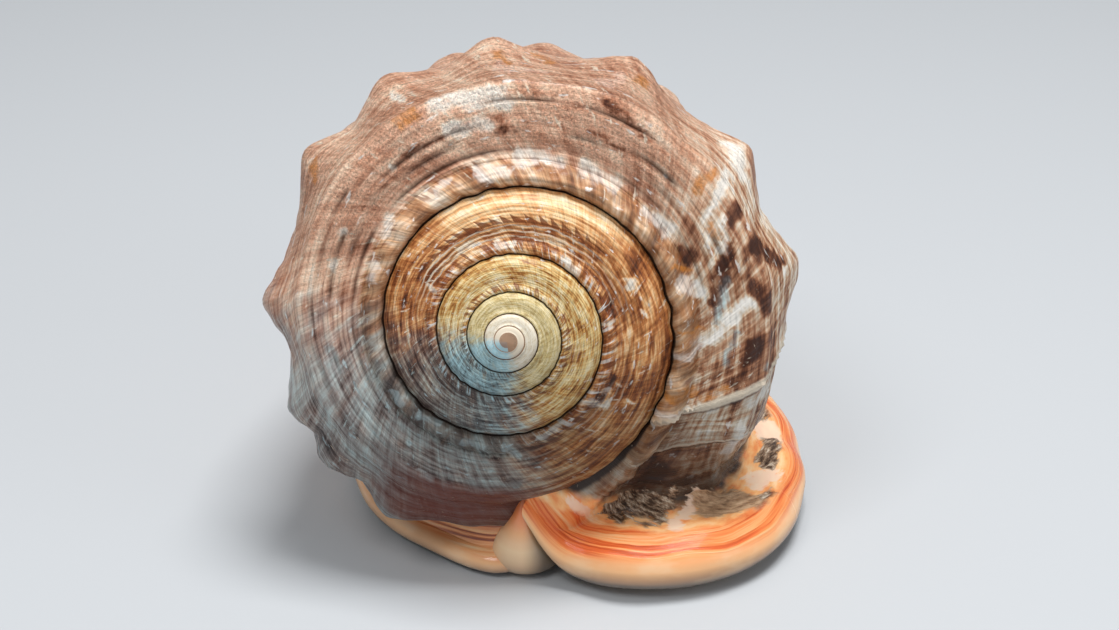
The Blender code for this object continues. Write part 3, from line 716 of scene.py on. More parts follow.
def whorl_looks(turn, share, along, margin, along_lip):
    """What the corners of the whorls carry."""
    across = SHELF_ACROSS * share + BARREL_ACROSS * along + 0 * turn
    round_ = ROUND_PER_TURN * turn
    made = skin_marks(turn, across)
    # Painted blue reflection on the side of each whorl that faces down and to the left, and in the listed
    # patches.
    down_left = -np.sin(LIP_ANGLE - 2 * math.pi * turn + BLUE_REFLECTION_SIDE)
    cool = smooth_step((down_left - 0.2) / 0.8) * smooth_step((-turn - 0.12) / 0.2)
    cool = 0.85 * cool * (1 - smooth_step((along - 0.25) / 0.2))
    made[..., BLUE_REFLECTION] = np.maximum(made[..., BLUE_REFLECTION] * 0.9, cool)
    groove = last_grooves(turn, share, along) * (turn >= -1)
    grain = smooth_step((turn + 0.74) / 0.12) * smooth_step((-turn - 0.3) / 0.1)
    grain = grain * smooth_step((share - 0.28) / 0.2) * (1 - smooth_step((along - 0.3) / 0.15))
    on_lip = marks(LIP_MARKS, along_lip + 0 * margin, margin, seed=70)
    return {
        "skin": vectors(round_, across, growth_age(round_, across, turn)),
        "lip": vectors(along_lip, margin, turn),
        "marks": vectors(made[..., DARK], made[..., LIGHT], made[..., BLUE_REFLECTION]),
        "tints": vectors(made[..., AMBER], groove, grain),
        "lip_marks": vectors(on_lip[..., BLOTCH], on_lip[..., OLIVE], on_lip[..., PALE]),
    }


def marks(table, first, second, seed):
    """How strongly each kind of mark covers each place on the unrolled shell."""
    x = first + MARK_WANDER[0] * ripple(first / 8, second / 6, seed=seed)
    y = second + MARK_WANDER[1] * ripple(first / 7, second / 5, seed=seed + 1)
    start, reach = MARK_EDGE
    made = np.zeros(first.shape + (len(table),))
    for kind, strips in table.items():
        for middle, across, half_length, half_width, lean in strips:
            cos = math.cos(math.radians(lean))
            sin = math.sin(math.radians(lean))
            ahead = (x - middle) * cos + (y - across) * sin
            beside = (y - across) * cos - (x - middle) * sin
            distance = np.hypot(np.maximum(np.abs(ahead) - half_length, 0), beside) / half_width
            made[..., kind] = np.maximum(made[..., kind], 1 - smooth_step((distance - start) / reach))
    return made


def skin_marks(turn, across):
    """The skin's marks. A mark stays on the whorl that its middle is on."""
    made = np.zeros(across.shape + (len(SKIN_MARKS),))
    turn = turn + 0 * across
    for number in range(-SPIRE_WHORLS - 1, 0):
        table = {}
        for kind, strips in SKIN_MARKS.items():
            on_it = [strip for strip in strips if math.floor(strip[0]) == number]
            table[kind] = [(ROUND_PER_TURN * middle, *rest) for middle, *rest in on_it]
        here = np.clip(np.floor(turn), None, -1) == number
        made[here] = marks(table, ROUND_PER_TURN * turn[here], across[here], seed=60)
    return made


def ring_loft(name, rings, slot, skin=None, lip=None):
    """A closed mesh over rings with equal numbers of points, each end closed by one face."""
    rings = np.asarray(rings)
    count, size = rings.shape[:2]
    ids = np.arange(count * size).reshape(count, size)
    faces = quads(np.concatenate([ids, ids[:, :1]], axis=1))
    faces += [ids[0].tolist(), ids[-1].tolist()]
    points = rings.reshape(-1, 3)
    skin = points if skin is None else skin
    lip = points if lip is None else lip
    plain = np.zeros_like(points)
    looks = {"skin": skin, "lip": lip, "marks": plain, "tints": plain, "lip_marks": plain}
    return closed_mesh(name, points, np.arange(len(points)), faces, looks, slot)


def shield_mesh():
    """The inner lip: a thick curved plate with a rolled edge and a trough between that and the whorl."""
    at = np.linspace(0, len(SHIELD) - 1, SHIELD_STEPS + 1)
    edge, outward, half, round_, mouth = stations(SHIELD, at)
    share = np.minimum(1, np.linalg.norm(mouth - edge, axis=-1, keepdims=True) / SHIELD_FULL_WIDTH)
    ring = underside(edge, outward, half, round_, mouth, 1)
    ring += [edge - outward * inward * share + UP * above for inward, above in SHIELD_NECK]
    ring = spline(np.array(ring + ring[:1]), np.arange(FINE_RIB * len(ring)) / FINE_RIB)
    ring = np.maximum(ring, TABLE)
    come = lengths(ring)
    margin = come[2 * FINE_RIB] - come
    top = np.arange(len(ring)) > len(ring) - (len(SHIELD_NECK) + 1) * FINE_RIB
    round_trip = come[-1] + np.linalg.norm(ring[0] - ring[-1], axis=-1)
    margin = np.where(top[:, None], margin + round_trip, margin)
    along = np.broadcast_to(lengths(edge[:, None])[:, 0], margin.shape)
    lip = vectors(along.T, margin.T, np.zeros_like(along.T))
    return ring_loft("shield", np.moveaxis(ring, 0, 1), GLAZED, lip=lip)


def lobe_mesh():
    """The rounded end of the shield, which stands against the last suture's end."""
    angle = np.linspace(0, 2 * math.pi, LOBE_SIDES, endpoint=False)
    rings = []
    rows = spline(LOBE, np.linspace(0, len(LOBE) - 1, LOBE_RINGS))
    for height, across, front, half_width, half_depth in rows:
        x = across + half_width * np.cos(angle)
        y = front + half_depth * (1 + np.sin(angle))
        rings.append(np.stack([x, y, np.full(LOBE_SIDES, height)], -1))
    heights = np.array(rings)[..., 2]
    return ring_loft("lobe", rings, GLAZED, lip=vectors(0 * heights, heights, 1 + 0 * heights))


def chamber_mesh():
    """The hollow of the last whorl, from deep inside out through the mouth."""
    rings = []
    for turn in np.linspace(*CHAMBER_TURNS, CHAMBER_STEPS):
        narrowing = CHAMBER_NARROWING * smooth_step((turn + 0.32) / 0.16)
        side = np.linspace(CHAMBER_SIDE[0] + narrowing, CHAMBER_SIDE[1], CHAMBER_ROWS)
        outer, axial = barrel(turn, side)
        inner = barrel(turn - 1, side)[0] + SEPTUM
        inner += (PILLAR_RADIUS - inner) * smooth_step((side - 0.3) / 0.45)
        outer_side = placed(turn, outer - WALL, axial)
        inner_side = placed(turn, inner, axial)
        rings.append(np.concatenate([outer_side, inner_side[::-1]]))
    throat = np.linspace(*THROAT_STATIONS, CHAMBER_ROWS)
    lip_side = stations(LIP, throat)[4]
    shield_side = stations(SHIELD, throat)[4]
    for height in THROAT_HEIGHTS:
        near_lip = lip_side * (1 - UP) + UP * height - [THROAT_SIDE_GAP, 0, 0]
        near_shield = shield_side * (1 - UP) + UP * height + [THROAT_SIDE_GAP, 0, 0]
        rings.append(np.concatenate([near_lip, near_shield[::-1]]))
    return ring_loft("chamber", rings, INSIDE)


def tube_mesh(name, points, slot):
    """A round tube through points with a radius at each, closed at both ends."""
    path = spline(points, np.linspace(0, len(points) - 1, TUBE_STEPS))
    ahead = np.gradient(path[:, :3], axis=0)
    ahead /= np.linalg.norm(ahead, axis=-1, keepdims=True)
    beside = np.broadcast_to([1.0, 0.0, 0.0], ahead.shape)
    beside = beside - ahead * np.sum(beside * ahead, axis=-1, keepdims=True)
    beside /= np.linalg.norm(beside, axis=-1, keepdims=True)
    over = np.cross(ahead, beside)
    angle = np.linspace(0, 2 * math.pi, TUBE_SIDES, endpoint=False)[None, :, None]
    middle = path[:, None, :3]
    rings = middle + path[:, None, 3:] * (np.cos(angle) * beside[:, None] + np.sin(angle) * over[:, None])
    come = lengths(middle)
    angle = angle[..., 0]
    skin = vectors(path[:, None, 3] * angle, BARREL_ACROSS + come, come)
    lip = vectors(0 * come + FAR_FROM_LIP, FAR_FROM_LIP, SPOUT_TURN + 0 * angle)
    return ring_loft(name, rings, slot, skin=skin, lip=lip)


def shell_surface():
    """The whorls with the shield, lobe and spout joined on, hollowed through the mouth and the canal."""
    shell = bpy.data.objects.new("shell_surface", whorls_mesh())
    bpy.context.scene.collection.objects.link(shell)
    pieces = [
        ("UNION", shield_mesh()),
        ("UNION", lobe_mesh()),
        ("UNION", tube_mesh("spout", SPOUT, OUTSIDE)),
        ("DIFFERENCE", chamber_mesh()),
        ("DIFFERENCE", tube_mesh("groove", GROOVE, GLAZED)),
    ]
    tools = []
    for operation, mesh in pieces:
        tool = bpy.data.objects.new(mesh.name, mesh)
        bpy.context.scene.collection.objects.link(tool)
        tools.append(tool)
        boolean = shell.modifiers.new(mesh.name, "BOOLEAN")
        boolean.operation = operation
        boolean.solver = "MANIFOLD"
        boolean.object = tool
    bpy.context.view_layer.update()
    joined = shell.evaluated_get(bpy.context.evaluated_depsgraph_get())
    made = bpy.data.meshes.new_from_object(joined)
    shell.modifiers.clear()
    shell.data = made
    for tool in tools:
        bpy.data.objects.remove(tool)
    made.shade_smooth()
    made.set_sharp_from_angle(angle=SHARP_ANGLE)
    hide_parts("shell")
    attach(shell, "root")


def srgb(red, green, blue):
    """A shader colour from the 0 to 255 values of a screen."""
    shares = [value / 255 for value in (red, green, blue)]
    return [v / 12.92 if v <= 0.04045 else ((v + 0.055) / 1.055) ** 2.4 for v in shares] + [1.0]


def palette(*stops):
    """The stops of a colour ramp: the place of each, and its red, green and blue."""
    return [(place, srgb(*colour)) for place, *colour in stops]


# The skin's colours from dark to light, by a tone of 0 to 1, for each part of the spiral.
BODY_BROWNS = palette(
    (0.08, 84, 46, 32), (0.26, 148, 94, 68), (0.42, 190, 138, 110), (0.57, 214, 168, 140),
    (0.74, 232, 198, 170), (0.92, 242, 224, 204),
)
SIDE_BROWNS = palette(
    (0.1, 60, 34, 24), (0.28, 112, 68, 46), (0.42, 160, 112, 82), (0.55, 192, 156, 126),
    (0.7, 218, 202, 180), (0.86, 234, 228, 218),
)
RUST_BROWNS = palette(
    (0.1, 70, 36, 20), (0.28, 128, 70, 36), (0.45, 178, 112, 62), (0.6, 214, 156, 100),
    (0.76, 236, 198, 152), (0.92, 242, 226, 202),
)
TAN_BROWNS = palette((0.15, 178, 106, 56), (0.4, 228, 166, 108), (0.6, 242, 204, 152), (0.85, 247, 228, 194))
GOLD_BROWNS = palette(
    (0.1, 88, 52, 24), (0.3, 154, 98, 44), (0.46, 196, 148, 84), (0.62, 218, 188, 128), (0.8, 234, 216, 172),
)
YOUNG_GOLDS = palette((0.2, 166, 132, 78), (0.45, 206, 184, 126), (0.7, 228, 212, 168))
TIP_CREAMS = palette((0.25, 208, 190, 160), (0.5, 228, 216, 192), (0.75, 238, 230, 214))
COLLAR_PATCHES = palette(
    (0.36, 96, 56, 32), (0.46, 158, 108, 68), (0.54, 198, 158, 120), (0.66, 226, 210, 188),
)
CREAM = srgb(232, 218, 196)
WHITE = srgb(230, 226, 220)
DASH_BROWN = srgb(120, 62, 30)
GROOVE_BROWN = srgb(62, 34, 22)
SUTURE_BLACK = srgb(34, 20, 14)
TIP_SUTURE_BROWN = srgb(150, 98, 58)
DEEP_BROWN = srgb(78, 42, 26)
AMBER_BROWN = srgb(192, 120, 44)
MAROON = srgb(96, 36, 18)
# The dark patch beside the last suture's end: partly the shell's own brown, partly painted shade.
DUSK = srgb(52, 38, 32)
# The tint of the painted blue reflection.
BLUE_REFLECTION_SHADE = [0.62, 1.03, 1.16, 1.0]

# The colours of the lip and the shield: layers, the roll by the height up from the edge, blotches and glaze.
ORANGE_LAYERS = palette(
    (0.24, 176, 70, 34), (0.38, 222, 104, 54), (0.5, 240, 144, 82), (0.62, 246, 176, 118),
    (0.78, 250, 212, 164),
)
# The grey stops at 0.4 and 0.45, just under the edge of the lip and the shield, are painted shade.
ROLL_COLOURS = palette(
    (0.0, 190, 106, 64), (0.2, 226, 160, 112), (0.33, 226, 186, 146), (0.4, 150, 140, 130),
    (0.45, 134, 122, 112), (0.485, 200, 158, 124), (0.52, 246, 190, 138), (0.6, 240, 150, 92),
)
# The dark blotches: their own dark browns, and a pale end that is painted highlight on their wrinkles.
BLOTCH_AND_GLINT = palette((0.34, 38, 25, 19), (0.46, 104, 80, 62), (0.55, 178, 150, 124), (0.66, 244, 228, 206))
OLIVE_BLOTCH = palette((0.34, 126, 94, 66), (0.5, 186, 148, 114), (0.68, 222, 188, 152))
PEACHES = palette((0.35, 242, 150, 88), (0.5, 251, 184, 120), (0.68, 253, 210, 160))
PALE_PEACH = srgb(248, 220, 196)
ROLL_CREAM = srgb(246, 212, 172)
SHIELD_LAYERS = palette(
    (0.26, 128, 62, 36), (0.36, 190, 104, 60), (0.46, 238, 152, 94), (0.6, 250, 190, 134),
    (0.76, 252, 218, 172),
)
LOBE_COLOURS = palette(
    (0.02, 206, 176, 146), (0.16, 220, 182, 144), (0.36, 246, 210, 166), (0.56, 240, 174, 120),
    (0.75, 226, 126, 70), (0.9, 180, 92, 50),
)
# Painted shade over the lobe's right side, which faces the gap by the lip.
LOBE_PAINTED_SHADE = srgb(84, 73, 62)
MOUTH_BROWNS = palette((0.3, 150, 74, 40), (0.5, 204, 118, 74), (0.7, 228, 156, 112))
TOOTH_CREAMS = palette((0.35, 246, 214, 176), (0.65, 252, 238, 216))

# Turns of the spiral from which and to which the skin passes into a look. With a third value, the look lies
# between the two turns, and its edges are this soft.
TO_SPIRE = (-0.97, -1.03)
TO_GROWN = (-3.2, -2.85)
TO_SIDE = (-0.4, -0.28)
TO_GLOSSY = (-0.34, -0.2)
TO_UNDERSIDE = (-0.7, -0.85)
TO_BODY = (-1.06, -0.94)
TO_GOLD = (-1.95, -2.1)
TO_YOUNG_GOLD = (-2.95, -3.1)
TO_TIP = (-3.9, -4.05)
TO_PLAIN_TIP = (-4.7, -5.2)
TO_CORDS = (-4.6, -3.4)
TO_BLACK_SUTURE = (-4.4, -3.6)
# From here on towards the tip, the whorls take stronger painted blue reflection.
TO_YOUNG_BLUE_REFLECTION = (-1.8, -2.05)
TO_DUSK = (-0.15, -0.05)
TO_MAROON = (-0.84, -0.93)
TAN_TOP = (-1.56, -1.36, 0.06)
BANDED_TOP = (-1.66, -1.36, 0.05)
TOOTHED_TOP = (-1.64, -1.36, 0.03)
# The penultimate whorl is darker on its lower right and on its left: painted shade.
DARKER_RIGHT = (-1.36, -1.06, 0.08)
DARKER_LEFT = (-1.86, -1.62, 0.08)

# Widths in millimetres along the lip: of the orange band, of the glaze above it, and of the roll below it.
LIP_BAND = [
    (0, 6), (4, 9), (10, 12.5), (22, 14.8), (34, 11.4), (50, 10.9), (70, 9.2), (86, 8), (110, 9),
    (160, 9), (230, 8),
]
LIP_GLAZE = [(0, 6), (16, 5), (30, 7), (60, 9), (90, 12), (130, 8), (230, 6)]
LIP_ROLL = [(0, 1.5), (14, 2.4), (30, 4.2), (90, 3.5), (230, 3)]
ROLL_REACH = 30

# The suture's line: its width in hundredths of the whorl's top, by turn.
SUTURE_LINE = [(-6, 9), (-5, 7), (-4, 4.5), (-3, 2.6), (-2, 1.7), (-1, 1.2), (0, 1.2)]

# The noises: millimetres to a grain in each direction, seed, detail and roughness. The second size is 1 where
# there is no second direction, and where it comes already counted in grains.
NOISES = {
    "streaks": (15, 1.7, 0.0, 5.0, 0.62),
    "growths": (2.4, 15, 5.0, 5.0, 0.65),
    "clouds": (15, 13, 8.0, 3.0, 0.55),
    "ragged": (2.4, 6.0, 51.0, 5.0, 0.7),
    "presence": (22, 30, 15.0, 2.0, 0.55),
    "band_warp": (11, 8, 17.0, 2.0, 0.55),
    "dashes": (3.4, 16, 13.0, 2.5, 0.55),
    "tooth_spacing": (20, 1, 2.0, 3.0, 0.55),
    "tooth_row": (9, 1, 6.0, 3.0, 0.55),
    "patches": (8.5, 18, 21.0, 3.5, 0.6),
    "bites": (1.7, 7, 31.0, 3.0, 0.55),
    "flecks": (2.1, 5.0, 41.0, 4.0, 0.6),
    "specks": (6.0, 1.5, 43.0, 3.0, 0.55),
    "cord_warp": (12, 5, 61.0, 2.0, 0.55),
    "broken_cords": (8, 2.5, 66.0, 3.0, 0.55),
    "fine_growth": (0.7, 9, 71.0, 3.0, 0.6),
    "grain": (0.7, 0.55, 95.0, 4.0, 0.75),
    "cool_patches": (6, 9, 46.0, 3.0, 0.55),
    "scar_wobble": (7, 1, 19.0, 2.0, 0.55),
    "suture_width": (4, 1, 29.0, 3.0, 0.55),
    "layer_drift": (26, 40, 3.0, 1.0, 0.55),
    "fine_layers": (1.0, 50, 7.0, 4.0, 0.6),
    "broad_layers": (3.6, 60, 2.0, 2.0, 0.55),
    "roll_mottle": (13, 6, 12.0, 3.0, 0.55),
    "underside": (5, 24, 16.0, 3.0, 0.55),
    "band_edge": (9, 7, 81.0, 4.0, 0.55),
    "glaze": (7, 2.2, 85.0, 4.0, 0.55),
    "wrinkle_bend": (7, 5, 88.0, 2.0, 0.55),
    "wrinkles": (4.4, 1, 91.0, 4.0, 0.66),
    "shield_layers": (1.5, 60, 33.0, 4.0, 0.55),
    "lobe": (8, 5, 44.0, 3.0, 0.55),
}

# The lip's wrinkles: how far they lean along it, and their width in millimetres.
WRINKLE_LEAN = 0.35
WRINKLE_WIDTH = 1.15


class Signal:
    """A value that flows through a material, so that its arithmetic reads as arithmetic."""

    def __init__(self, paint, socket):
        self.paint = paint
        self.socket = socket

    def __add__(self, other):
        return self.paint.calc("ADD", self, other)

    def __sub__(self, other):
        return self.paint.calc("SUBTRACT", self, other)

    def __rsub__(self, other):
        return self.paint.calc("SUBTRACT", other, self)

    def __mul__(self, other):
        return self.paint.calc("MULTIPLY", self, other)

    def __truediv__(self, other):
        return self.paint.calc("DIVIDE", self, other)

    __radd__ = __add__
    __rmul__ = __mul__


class Paint:
    """A material's node tree, with a short call for each kind of node."""

    def __init__(self, name):
        self.material = bpy.data.materials.new(name)
        self.material.use_nodes = True
        self.tree = self.material.node_tree
        self.shader = self.tree.nodes["Principled BSDF"]

    def feed(self, socket, value):
        if isinstance(value, Signal):
            self.tree.links.new(value.socket, socket)
        else:
            socket.default_value = value

    def node(self, kind, inputs, output=0, **settings):
        made = self.tree.nodes.new("ShaderNode" + kind)
        for name, value in settings.items():
            setattr(made, name, value)
        for name, value in inputs.items():
            self.feed(made.inputs[name], value)
        return Signal(self, made.outputs[output])

    def calc(self, operation, *values):
        return self.node("Math", dict(enumerate(values)), operation=operation)

    def place(self, look):
        """The three parts of a vector that the mesh's corners carry."""
        vector = self.node("Attribute", {}, "Vector", attribute_name=look)
        return [self.node("SeparateXYZ", {0: vector}, part) for part in range(3)]

    def noise(self, x, y, z=0.0, detail=3.0, roughness=0.55):
        """Noise of about 0.2 to 0.8. Each coordinate is counted in the noise's own grains."""
        vector = self.node("CombineXYZ", {0: x, 1: y, 2: z})
        inputs = {"Vector": vector, "Scale": 1.0, "Detail": detail, "Roughness": roughness}
        return self.node("TexNoise", inputs, "Fac")

    def grains(self, name, first, second=0.0):
        """A noise from the table, over places in millimetres."""
        first_size, second_size, seed, detail, roughness = NOISES[name]
        return self.noise(first / first_size, second / second_size, seed, detail, roughness)

    def step(self, value, low, high):
        """0 below low and 1 above high, with an even turn between. A higher low runs the other way."""
        inputs = {"Value": value, "From Min": low, "From Max": high}
        return self.node("MapRange", inputs, interpolation_type="SMOOTHSTEP")

    def between(self, value, low, high, soft):
        """1 from low to high, and 0 outside, with edges this soft."""
        return self.step(value, low - soft, low + soft) * self.step(value, high + soft, high - soft)

    def wave(self, x):
        """-1 to 1, once for each whole number."""
        return self.calc("SINE", x * (2 * math.pi))

    def ramp(self, value, stops):
        """A colour read from (place, colour) stops."""
        made = self.tree.nodes.new("ShaderNodeValToRGB")
        self.feed(made.inputs["Fac"], value)
        elements = made.color_ramp.elements
        while len(elements) < len(stops):
            elements.new(1.0)
        for element, (place, colour) in zip(elements, stops):
            element.position = place
            element.color = colour
        return Signal(self, made.outputs["Color"])

    def curve(self, value, pairs):
        """A number read from (place, number) pairs, whose numbers lie between 0 and 100."""
        low, high = pairs[0][0], pairs[-1][0]
        stops = [((place - low) / (high - low), [number / 100] * 3 + [1.0]) for place, number in pairs]
        return self.calc("MULTIPLY", self.ramp((value - low) / (high - low), stops), 100.0)

    def mix(self, share, first, second, mode="MIX"):
        inputs = {0: share, 6: first, 7: second}
        return self.node("Mix", inputs, 2, data_type="RGBA", blend_type=mode, clamp_factor=True)

    def shaded(self, colour, shade):
        """The colour times a number."""
        grey = self.node("CombineColor", {0: shade, 1: shade, 2: shade})
        return self.mix(1.0, colour, grey, "MULTIPLY")

    def finish(self, colour, roughness, height):
        """Feeds the shader. Height is in millimetres."""
        self.feed(self.shader.inputs["Base Color"], colour)
        self.feed(self.shader.inputs["Roughness"], roughness)
        inputs = {"Height": height, "Distance": MM, "Strength": 1.0}
        self.feed(self.shader.inputs["Normal"], self.node("Bump", inputs))
        return self.material


def read_looks(paint):
    """What the mesh's corners carry, by name."""
    look = SimpleNamespace()
    look.round, look.across, look.age = paint.place("skin")
    look.along, look.margin, look.turn = paint.place("lip")
    look.dark, look.light, look.cool = paint.place("marks")
    look.amber, look.groove, look.grain = paint.place("tints")
    look.blotch, look.olive, look.pale = paint.place("lip_marks")
    look.share = look.across / SHELF_ACROSS
    look.spire = paint.step(look.turn, *TO_SPIRE)
    look.last = 1.0 - look.spire
    look.grown = paint.step(look.turn, *TO_GROWN)
    look.glossy = paint.step(look.turn, *TO_GLOSSY)
    look.ragged = paint.grains("ragged", look.age, look.across)
    look.streaks = paint.grains("streaks", look.round, look.across)
    look.growths = paint.grains("growths", look.age, look.across)
    return look


def whorl_tone(paint, look, side):
    """How light the skin is, from 0 to 1: streaks along the spiral and the growth lines, clouds and marks."""
    clouds = paint.grains("clouds", look.age, look.across)
    streaked = look.streaks * (0.42 + 0.12 * look.spire)
    lined = look.growths * (0.34 - 0.12 * look.spire)
    mixed = streaked + lined + clouds * 0.24
    low = paint.step(look.turn, *TO_UNDERSIDE) * look.last
    contrast = 2.6 + 0.7 * side + 0.6 * look.spire + 1.4 * low
    torn = 1.0 + 2.0 * (look.ragged - 0.5)
    tone = 0.54 + (mixed - 0.5) * contrast
    tone = tone + 0.34 * look.light * torn - 0.34 * look.dark * torn
    # Painted shade on the penultimate whorl's lower right and left.
    tone = tone - 0.1 * paint.between(look.turn, *DARKER_RIGHT)
    return tone - 0.12 * paint.between(look.turn, *DARKER_LEFT)


def whorl_colours(paint, look):
    """The skin's ground colour, by its tone, for each part of the spiral."""
    side = paint.step(look.turn, *TO_SIDE)
    tone = whorl_tone(paint, look, side)
    tan = paint.between(look.turn, *TAN_TOP) * paint.step(look.share, 0.5, 0.66)
    colour = paint.mix(tan, paint.ramp(tone, RUST_BROWNS), paint.ramp(tone, TAN_BROWNS))
    body = paint.mix(side, paint.ramp(tone, BODY_BROWNS), paint.ramp(tone, SIDE_BROWNS))
    colour = paint.mix(paint.step(look.turn, *TO_BODY), colour, body)
    for ends, colours in [(TO_GOLD, GOLD_BROWNS), (TO_YOUNG_GOLD, YOUNG_GOLDS), (TO_TIP, TIP_CREAMS)]:
        colour = paint.mix(paint.step(look.turn, *ends), colour, paint.ramp(tone, colours))
    return paint.mix(paint.step(look.turn, *TO_PLAIN_TIP), colour, CREAM)


def spire_bands(paint, look, colour):
    """Bands round the spire's whorls: wavy lines, dashes by the inner suture, and a row of small teeth."""
    whorls = look.spire * look.grown
    presence = paint.step(paint.grains("presence", look.round, look.across), 0.4, 0.58)
    warp = paint.grains("band_warp", look.round, look.across)
    lines = paint.wave(look.across / 1.75 + 1.5 * warp)
    band = paint.between(look.share + 0.12 * (warp - 0.5), 0.24, 0.47, 0.03) * whorls
    band = band * (0.35 * presence + 0.65 * paint.between(look.turn, *BANDED_TOP))
    colour = paint.mix(band * paint.step(lines, 0.1, 0.8) * 0.85, colour, DASH_BROWN)
    colour = paint.mix(band * paint.step(lines, -0.3, -0.9) * 0.8, colour, CREAM)

    dashes = paint.grains("dashes", look.age, look.across)
    inner = paint.between(look.share + 0.4 * (dashes - 0.5), 0.02, 0.2, 0.03) * whorls
    colour = paint.mix(inner * paint.step(dashes, 0.5, 0.42) * 0.8, colour, DASH_BROWN)
    colour = paint.mix(inner * paint.step(dashes, 0.53, 0.6) * (0.4 + 0.6 * presence), colour, WHITE)

    spacing = paint.grains("tooth_spacing", look.round)
    saw = paint.calc("FRACT", look.round / 5.2 + 3.0 * look.share + 1.2 * spacing)
    edge = look.share - 0.48 - 0.04 * paint.grains("tooth_row", look.round)
    tooth = paint.step(0.13 * (1.0 - saw) - edge, 0.0, 0.02) * paint.step(edge, -0.03, 0.0)
    return paint.mix(tooth * paint.between(look.turn, *TOOTHED_TOP) * 0.85, colour, DASH_BROWN)


def collar_colours(paint, look, colour):
    """The raised collar along the last whorl's suture: cream and brown patches with a bitten outer edge."""
    patches = paint.grains("patches", look.age, look.across)
    bites = paint.grains("bites", look.age, look.across)
    ends = 0.29 + 0.2 * (bites - 0.5) + 0.1 * (patches - 0.5)
    on_collar = paint.step(look.share - ends, 0.02, -0.02) * look.last * paint.step(look.margin, 20, 36)
    patched = paint.ramp(patches + 0.25 * (bites - 0.5), COLLAR_PATCHES)
    colour = paint.mix(on_collar * 0.85, colour, patched)
    bitten = paint.step(bites, 0.52, 0.6) * paint.between(look.share, 0.15, 0.3, 0.03)
    return paint.mix(bitten * look.last * 0.65, colour, DASH_BROWN)


def marked_colours(paint, look, colour):
    """Flecks, grooves and the marks placed one by one, all with ragged edges."""
    flecks = paint.grains("flecks", look.age, look.across)
    colour = paint.mix(paint.step(flecks, 0.62, 0.68) * 0.7 * look.grown, colour, CREAM)
    specks = paint.grains("specks", look.round, look.across)
    colour = paint.mix(paint.step(specks, 0.63, 0.69) * 0.7 * look.grown, colour, WHITE)
    tattered = 2.2 * (look.ragged - 0.5)
    amber = paint.shaded(AMBER_BROWN, 0.6 + 0.8 * look.ragged)
    colour = paint.mix(paint.step(look.amber + tattered, 0.2, 1.1) * 0.7, colour, amber)
    colour = paint.mix(paint.step(look.dark + tattered, 0.3, 1.2) * 0.3, colour, DEEP_BROWN)
    colour = paint.mix(paint.step(look.light + tattered, 0.3, 1.2) * 0.5, colour, WHITE)
    return paint.mix(look.groove * 0.8, colour, GROOVE_BROWN)


def fine_lines(paint, look, colour):
    """Fine cords round the whorl crossed by growth lines, in shade and in height."""
    warp = 0.6 * paint.grains("cord_warp", look.round, look.across)
    cord = paint.wave(look.across / 1.15 + warp)
    broad_cord = paint.wave(look.across / 3.4 + 2.0 * warp)
    broken = paint.step(paint.grains("broken_cords", look.round, look.across), 0.36, 0.6)
    growth = paint.grains("fine_growth", look.age, look.across) - 0.5
    grain = paint.grains("grain", look.round, look.across) - 0.5
    skin = paint.step(look.margin, 14, 26) * paint.step(look.turn, *TO_CORDS)
    even = 1.0 - 0.6 * look.grain
    depth = (1.0 - 0.6 * look.glossy) * skin * even
    between_cords = 0.3 * broken * paint.step(cord, 0.0, -0.9) + 0.1 * paint.step(broad_cord, 0.2, -0.9)
    shade = 1.0 - between_cords * depth + 0.9 * growth * skin * even
    shade = shade + grain * (0.35 + 2.2 * look.grain) * skin
    height = (cord * 0.06 + broad_cord * 0.05 + (look.streaks - 0.5) * 0.4) * depth
    height = height + (growth * 0.35 + grain * (0.08 + 1.3 * look.grain)) * skin
    size = paint.calc("POWER", GROWTH_PER_WHORL, look.turn)
    return paint.shaded(colour, shade), height * size


def scar_colours(paint, look, colour):
    """Pale lines where growth once halted, each with a dark line on its younger side."""
    there = paint.between(look.across, 2.0, 46.0, 4.0) * paint.step(look.margin, 26, 32) * look.last
    wobble = 1.2 * (paint.grains("scar_wobble", look.across) - 0.5)
    for place, width in SCARS:
        off = look.age - place + wobble
        colour = paint.mix(paint.between(off, 0.9, 1.9, 0.5) * there * 0.75, colour, GROOVE_BROWN)
        colour = paint.mix(paint.between(off, -width, width, 0.45) * there * 0.9, colour, CREAM)
    return colour


